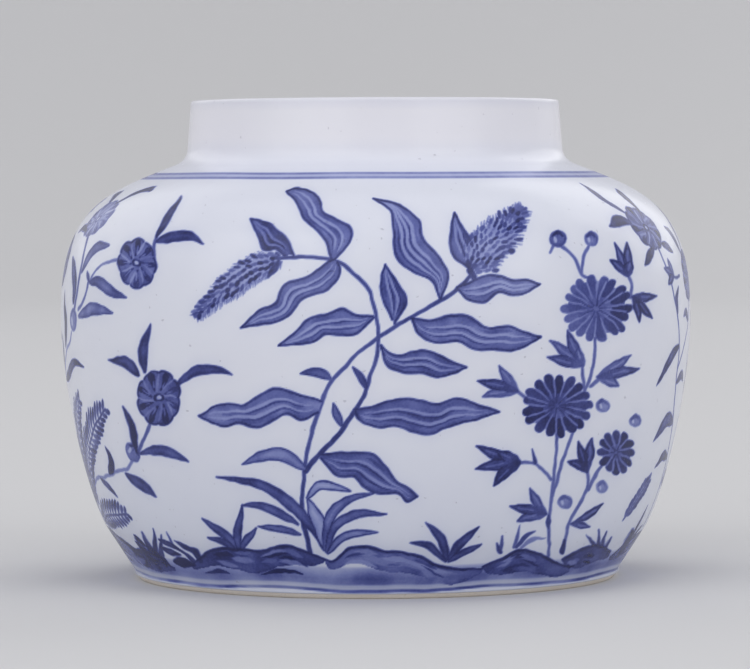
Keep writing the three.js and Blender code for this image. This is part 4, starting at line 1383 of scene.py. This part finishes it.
for ridge, wash, depth in (
    ([(-38.5, 2), (-34, 5.2), (-29.5, 5.3), (-25, 4.8), (-20, 6), (-16, 5.2), (-11, 3)], 0.72, 4.0),
    ([(-11, 3), (-9.2, 2.7), (-6, 5.2), (-2.5, 5.7), (2, 4.7), (8, 4.2), (14, 1.4), (22, 1)], 0.56,
     4.0),
    ([(22, 1.4), (26, 3.2), (29.5, 4.8), (33, 4.2), (37, 2.4), (40, 1)], 0.66, 4.0),
    ([(38.5, 3), (42, 4.8), (45.5, 5.7), (48.4, 4.8)], 0.7, 3.4),
    ([(-50.5, 5.6), (-47, 4.7), (-44, 3.2), (-42.5, 1.8)], 0.7, 3.0),
):
    mound(front, ridge, wash, depth)
for line, width, shade in (
    ([(-24, 0.2), (-21, 0.9), (-17.5, 0.8), (-15.4, 0.1)], (0.3, 1.2, 1.0, 0.3), 0.94),
    ([(-35.5, 0.4), (-33, 0.9), (-30.5, 0.3)], (0.3, 1.1, 0.3), 0.85),
    ([(24.9, 6.5), (25.5, 4.8)], (0.4, 1.2), 0.8),
    ([(26, 8), (25.7, 5.5)], (0.3, 0.9), 0.7),
    ([(29.8, 10), (29.2, 8), (28.5, 5.6)], (0.2, 0.8, 0.6), 0.62),
    ([(32.8, 8.8), (31, 7.8), (29, 5.6)], (0.2, 1.0, 0.7), 0.75),
    ([(35, 7.6), (32.5, 7.3), (30, 5.4)], (0.2, 0.9, 0.6), 0.42),
    ([(43.5, 8), (44.8, 6.5), (46, 5.2)], (0.2, 0.8, 0.7), 0.8),
    ([(46, 9.2), (46.3, 5.4)], (0.3, 1.0), 0.85),
    ([(47.8, 8.7), (46.8, 5.4)], (0.3, 0.8), 0.8),
    ([(48.7, 7.5), (47.3, 5)], (0.3, 0.8), 0.8),
    ([(53.2, 9.4), (52, 6.5), (50.8, 4.4)], (0.2, 1.1, 0.9), 0.85),
    ([(-42, 7.4), (-39.5, 5.9), (-37.5, 5), (-36.2, 3)], (0.2, 1.1, 1.2, 0.8), 0.85),
    ([(-41, 5.4), (-38, 3)], (0.3, 1.2), 0.8),
    ([(-43.6, 9.2), (-42.4, 6)], (0.2, 0.8), 0.7),
    ([(-48.8, 9), (-46.8, 5)], (0.3, 1.3), 0.85),
    ([(-46.5, 9.6), (-45.8, 5)], (0.3, 1.2), 0.85),
    ([(-44.8, 8.4), (-44.6, 4)], (0.3, 1.3), 0.8),
    ([(-50, 7.6), (-47.6, 4.6)], (0.3, 1.2), 0.75),
    ([(32.5, 26), (33, 23.4)], (0.3, 0.9), 0.8),
    ([(20.3, 61.7), (19.5, 63.1)], 1.3, 0.85),
    ([(-20, 65.4), (-21, 63.5), (-22.3, 61.8)], (0.6, 1.5, 0.3), 0.8),
):
    front.brush(line, width, shade)

mound(
    left_side,
    [(-36, -1), (-30, 1), (-24, 3.3), (-16, 5), (-8, 5.7), (0, 5.3), (6, 4), (12, 2.5),
     (18, 1.2), (24, 0.2)],
    0.76,
)
left_side.brush([(-17, -1), (-10, 0.7), (-4, 0.6), (2, -0.8)], (0.4, 1.3, 1.2, 0.4), 0.92)
mound(
    back,
    [(-27, 2), (-22, 3.5), (-16, 3.8), (-12, 5.5), (-9, 7), (-4, 7.2), (2, 7), (6, 6.3),
     (12, 6), (16, 5), (20, 2.5), (24, 1)],
    0.76,
    5.5,
)
back.brush([(-11, 0.6), (-6, 2.2), (-2, 1.6), (2, 0)], (0.4, 1.6, 1.2, 0.4), 0.92)
back.brush([(2, 1.3), (6, 1.9), (12, 0.3)], (0.4, 1.5, 0.4), 0.86)
daisies.seen_from(162)
mound(daisies, [(27.5, 1), (32, 3), (36, 5.2), (40, 6.2), (44, 6.5), (49, 6.3), (51, 4.5)], 0.78)
daisies.seen_from(-76.5)
mound(daisies, [(-53, 4.4), (-50, 5), (-46, 3.8), (-42, 2.4), (-38.5, 1), (-36, 0)], 0.76, 3.4)
for line, width, shade in (
    ([(-42.8, 2), (-44.6, 5)], (1.2, 0.3), 0.8),
    ([(-42.4, 2), (-43, 5.8)], (1.3, 0.3), 0.88),
    ([(-41.8, 1.8), (-41, 5)], (1.3, 0.3), 0.86),
    ([(-41.2, 1.4), (-39.2, 3.8)], (1.2, 0.3), 0.8),
):
    daisies.brush(line, width, shade)
mound(right_side, [(-16, 0.8), (-12, 2.6), (-7, 3.8), (-2, 4.4), (3, 3.4), (6, 2.2)], 0.7, 3.2)
mound(right_side, [(2, 2.2), (7, 4.6), (13, 6), (20, 6), (26, 4.6), (31, 2.6)], 0.76)
right_side.seen_from(162)
mound(right_side, [(-50, 6.6), (-46, 5.8), (-42, 4.6), (-37, 2.8), (-32, 1.4), (-28, 0.8)], 0.72, 2.4)

SLOW_SHAKE = 0.22
QUICK_SHAKE = 0.1
shake = [
    SLOW_SHAKE * mottled(15, seed) + QUICK_SHAKE * mottled(5, seed + 2) for seed in (21, 22)
]
for each_side in (front, left_side, back, daisies, right_side):
    each_side.lay_round(cobalt, shake)


# Foot and shoulder lines: while the jar turns on the wheel, a wash is run round the foot below
# the mounds with one fine line under it, and two close lines round the shoulder. The wash is
# given by height and ink.
FOOT_WASH = [
    (1.0, 0), (1.55, 0), (1.75, 0.5), (2.1, 0.5), (2.4, 0.06), (3.0, 0.12),
    (3.4, 0.4), (4.4, 0.46), (5.4, 0.34), (6.4, 0.2), (7.0, 0.0),
]
SHOULDER_LINES = (45.9, 47.9)
SHOULDER_LINE_REACH = 0.75
SHOULDER_LINE_FADE = 0.4
SHOULDER_LINE_INK = 0.48
BETWEEN_LINES_REACH = 1.1
BETWEEN_LINES_INK = 0.2
SHOULDER_FROM = 70.0
HALO_CELLS = 13
HALO_INK = 0.1

wander = mottled(61, 25)
lined_height = wall_height[:, None] + 0.18 * wander
foot_wash = np.interp(lined_height, *np.transpose(FOOT_WASH)) * (1 + 0.3 * mottled(25, 26))
cobalt = np.maximum(cobalt, foot_wash)
lined_radius = wall_radius[:, None] + 0.15 * wander
on_shoulder = wall_height[:, None] > SHOULDER_FROM
for radius in SHOULDER_LINES:
    away = np.abs(lined_radius - radius)
    line = np.clip((SHOULDER_LINE_REACH - away) / SHOULDER_LINE_FADE, 0, 1)
    line *= (SHOULDER_LINE_INK + 0.12 * mottled(45, 27)) * on_shoulder
    cobalt = np.maximum(cobalt, line)
away = np.abs(lined_radius - sum(SHOULDER_LINES) / 2)
between_lines = (away < BETWEEN_LINES_REACH) & on_shoulder
cobalt = np.maximum(cobalt, between_lines * BETWEEN_LINES_INK)
halo = softened(cobalt, HALO_CELLS, wrap=True)
cobalt = np.clip(cobalt * (1 + 0.07 * mottled(7, 28)) + HALO_INK * halo, 0, 1)


# Outer glaze: a clear, faintly blue coat over the painting, the collar and the lip, fired
# glossy. It pools grey-blue where the collar meets the shoulder and is coloured darker over the
# heel, and the collar has a painted highlight, brighter and warmer, a little less so at the lip.
COBALT_BLUES = {
    0.0: (239, 241, 249),
    0.18: (188, 195, 229),
    0.36: (146, 155, 208),
    0.55: (102, 111, 177),
    0.72: (70, 79, 148),
    0.88: (46, 53, 117),
    1.0: (30, 36, 90),
}
# Glaze colour by height: darker over the heel, grey-blue where the collar meets the shoulder, and a
# painted highlight on the collar.
GLAZE_POOLING_AND_HIGHLIGHT = {
    0.0: (223, 226, 233),
    0.1: (233, 236, 241),
    0.45: (242, 243, 245),
    0.82: (238, 240, 244),
    0.862: (239, 241, 246),
    0.885: (245, 246, 249),
    0.93: (252, 250, 248),
    0.985: (250, 248, 246),
    1.0: (242, 241, 242),
}
GLAZE_DRIFT = rgb(246, 243, 248)
PINHOLE_GREY = rgb(190, 186, 196)
GLAZE_RELIEF = 0.12
BAKE_STRIPS = 2
BAKE_MARGIN = 0.004

painted = Finish("painted_glaze")
ink = painted.node("ShaderNodeAttribute", {"attribute_name": "cobalt"}, {}, "Fac")
blue = painted.ramp(ink * (0.86 + 0.28 * painted.noise(0.5, detail=3)), COBALT_BLUES)
glaze_height = painted.along(2) / (HEIGHT * MM) + 0.02 * painted.noise(14)
drift = painted.noise(22, detail=3)
pinholes = painted.step(painted.noise(0.8, detail=0), 0.825, 0.86)
# The glaze's colour by height, with the painted highlight on the collar.
glaze_pooling_and_highlight = painted.ramp(glaze_height, GLAZE_POOLING_AND_HIGHLIGHT)
glaze_tone = painted.blend(1.0, blue, glaze_pooling_and_highlight, "MULTIPLY")
glaze_tone = painted.blend(0.45 * drift, glaze_tone, GLAZE_DRIFT, "MULTIPLY")
glaze_tone = painted.blend(0.5 * pinholes, glaze_tone, PINHOLE_GREY, "MULTIPLY")
ripple = painted.noise(1.3, detail=1) * 0.12 + painted.noise(9, detail=1)
painted.set(
    Base_Color=glaze_tone,
    Roughness=0.18 + 0.1 * drift + 0.3 * pinholes,
    Specular_IOR_Level=0.4,
    Normal=painted.bump(ripple - 0.3 * pinholes, GLAZE_RELIEF),
)


def unroll(made, along, columns, strips):
    """Unrolls a turned mesh into strips, one above another, for its baked picture."""
    row, column = np.mgrid[0 : len(along) - 1, 0:columns].reshape(2, -1)
    width = columns // strips
    strip, across = column // width, column % width
    edge = BAKE_MARGIN
    u = (across[:, None] + (0, 1, 1, 0)) / width * (1 - 2 * edge) + edge
    v = np.stack([along[row], along[row], along[row + 1], along[row + 1]], axis=-1) / along[-1]
    v = (strip[:, None] + v * (1 - 2 * edge * strips) + edge * strips) / strips
    layer = made.data.uv_layers.new(name="OFBake")
    layer.data.foreach_set("uv", np.stack([u, v], axis=-1).astype(np.float32).ravel())


skin = turned_mesh("outer_glaze_painted", wall_radius, wall_height, WALL_COLUMNS, painted)
attribute = skin.data.attributes.new("cobalt", "FLOAT", "POINT")
attribute.data.foreach_set("value", cobalt.astype(np.float32).ravel())
unroll(skin, wall_along, WALL_COLUMNS, BAKE_STRIPS)
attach(skin, "root")
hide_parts("outer_glaze")


# Inner glaze: the clear coat is poured in, swilled round and poured out. It lies over the
# spiral rings that the potter's fingers left, and its colour is darker and greyer towards the floor.
FLOOR_HEIGHT = 8.4
FLOOR_EDGE = 40.0
FLOOR_MIDDLE = 0.05
INSIDE_BELLY = BELLY_RADIUS - 4.0
MOUTH_RADIUS = 34.4
BOWL = [(FLOOR_EDGE, FLOOR_HEIGHT), (52.0, FLOOR_HEIGHT), (INSIDE_BELLY, 30.0), (INSIDE_BELLY, 53.7)]
UNDER_SHOULDER = [(INSIDE_BELLY, 54.5), (INSIDE_BELLY, 73.0), (53.0, 76.6), (38.4, 82.5)]
MOUTH_PULL = [(36.4, 83.8), (34.8, 85.0), (34.6, 87.0)]
MOUTH_TOP = [(MOUTH_RADIUS, 97.5), (MOUTH_RADIUS, HEIGHT), LIP_INNER]
INNER_SPACING = 0.4
INNER_COLUMNS = 480
RING_PITCH = 4.6
RING_RELIEF = 0.12
RING_LIFT = 0.16
RINGS_TOP = 88.0
RINGS_FADE = 8.0
RINGS_MIDDLE = 6.0
INNER_BY_HEIGHT = {0.0: (205, 208, 216), 0.3: (216, 218, 226), 1.0: (228, 228, 234)}
INNER_SPECK = rgb(140, 128, 118)

inner_line = np.vstack(
    [
        [(FLOOR_MIDDLE, FLOOR_HEIGHT), (FLOOR_EDGE - 1, FLOOR_HEIGHT)],
        bend(BOWL, 160),
        bend(UNDER_SHOULDER, 160),
        bend(MOUTH_PULL),
        bend(MOUTH_TOP),
    ]
)
inner_radius, inner_height = evened(inner_line, INNER_SPACING)
inner_along = np.arange(len(inner_radius)) * INNER_SPACING
slope = np.column_stack([np.gradient(inner_radius), np.gradient(inner_height)])
slope /= np.hypot(*slope.T)[:, None]
inner_turn = np.arange(INNER_COLUMNS) * 2 * np.pi / INNER_COLUMNS
spiral = np.sin(2 * np.pi * inner_along[:, None] / RING_PITCH - inner_turn)
fade = np.clip((RINGS_TOP - inner_height) / RINGS_FADE, 0, 1)
fade *= np.clip(inner_radius / RINGS_MIDDLE, 0, 1)
lift = (RING_LIFT + RING_RELIEF * spiral) * fade[:, None]

poured = Finish("clear_glaze")
poured_height = poured.along(2) / (HEIGHT * MM) + 0.12 * poured.noise(16)
specks = poured.step(poured.noise(1.1, detail=0), 0.78, 0.83)
poured.set(
    Base_Color=poured.blend(0.45 * specks, poured.ramp(poured_height, INNER_BY_HEIGHT), INNER_SPECK),
    Roughness=0.16 + 0.12 * poured.noise(20) + 0.3 * specks,
    Normal=poured.bump(poured.noise(8) + 0.15 * poured.noise(1.2), GLAZE_RELIEF),
)
lining = turned_mesh(
    "inner_glaze_poured",
    inner_radius[:, None] - lift * slope[:, 1:],
    inner_height[:, None] + lift * slope[:, :1],
    INNER_COLUMNS,
    poured,
    inward=True,
)
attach(lining, "root")
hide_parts("inner_glaze")


# Base glaze: the recessed base is glazed too, over two rings painted near its edge while the
# jar turned on the wheel. The base is a little hollow, and rings from turning show through.
BASE_FACE = 2.8
BASE_HOLLOW = 0.22
BASE_MIDDLE = 0.05
BASE_ROWS = 92
BASE_COLUMNS = 384
OUTER_RING = 44.4
INNER_RING = 39.5
BETWEEN_RINGS = 2.6
BASE_LINES = 0.9
BASE_RELIEF = 0.1
BASE_BLUES = {
    0.0: (229, 226, 232),
    0.3: (190, 192, 218),
    0.6: (132, 136, 184),
    1.0: (84, 90, 146),
}
BASE_SHADE = rgb(238, 234, 236)
BASE_SPECK = rgb(142, 126, 112)

ringed = Finish("base_glaze")
base_x, base_y = ringed.along(0), ringed.along(1)
from_axis = (base_x * base_x + base_y * base_y) ** 0.5 / MM
from_axis = from_axis + 0.5 * ringed.noise(30) + 0.12 * ringed.noise(2.5)
base_turn = ringed.node("ShaderNodeMath", {"operation": "ARCTAN2"}, {0: base_y, 1: base_x})


def swell(towards):
    """From -1 to 1 round the axis, highest towards an angle in degrees."""
    bent = base_turn - math.radians(towards)
    return ringed.node("ShaderNodeMath", {"operation": "COSINE"}, {0: bent})


def painted_ring(radius, half_width):
    """A painted ring: 1 within half_width of radius and 0 beyond, soft at its edges."""
    away = ringed.node("ShaderNodeMath", {"operation": "ABSOLUTE"}, {0: from_axis - radius})
    return ringed.step(half_width - away, -0.15, 0.2)


outer_ring = painted_ring(OUTER_RING, 0.95 + 0.4 * swell(150))
inner_ring = painted_ring(INNER_RING, 0.65 + 0.2 * swell(200))
between_rings = painted_ring((OUTER_RING + INNER_RING) / 2, BETWEEN_RINGS)
overlap = ringed.step(swell(78), 0.985, 0.996)
ring_ink = outer_ring * (0.62 + 0.3 * ringed.noise(5)) + between_rings * 0.2
ring_ink = ring_ink + inner_ring * (0.5 + 0.14 * swell(180) + 0.2 * overlap)
turning = ringed.lines(from_axis * BASE_LINES, detail=2.0)
specks = ringed.step(ringed.noise(1.0, detail=0), 0.81, 0.85)
base_tone = ringed.blend(0.3 * turning, ringed.ramp(ring_ink, BASE_BLUES), BASE_SHADE, "MULTIPLY")
ringed.set(
    Base_Color=ringed.blend(0.5 * specks, base_tone, BASE_SPECK),
    Roughness=0.2 + 0.15 * ringed.noise(12) + 0.3 * specks,
    Normal=ringed.bump(turning + 0.6 * ringed.noise(7) - 0.3 * specks, BASE_RELIEF),
)
base_radius = np.concatenate([[BASE_MIDDLE], np.linspace(1, FOOT_INNER_RADIUS, BASE_ROWS)])
base_height = BASE_FACE + BASE_HOLLOW * (1 - (base_radius / FOOT_INNER_RADIUS) ** 2)
under_base = turned_mesh(
    "base_glaze_ringed", base_radius, base_height, BASE_COLUMNS, ringed, inward=True
)
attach(under_base, "root")
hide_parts("base_glaze")
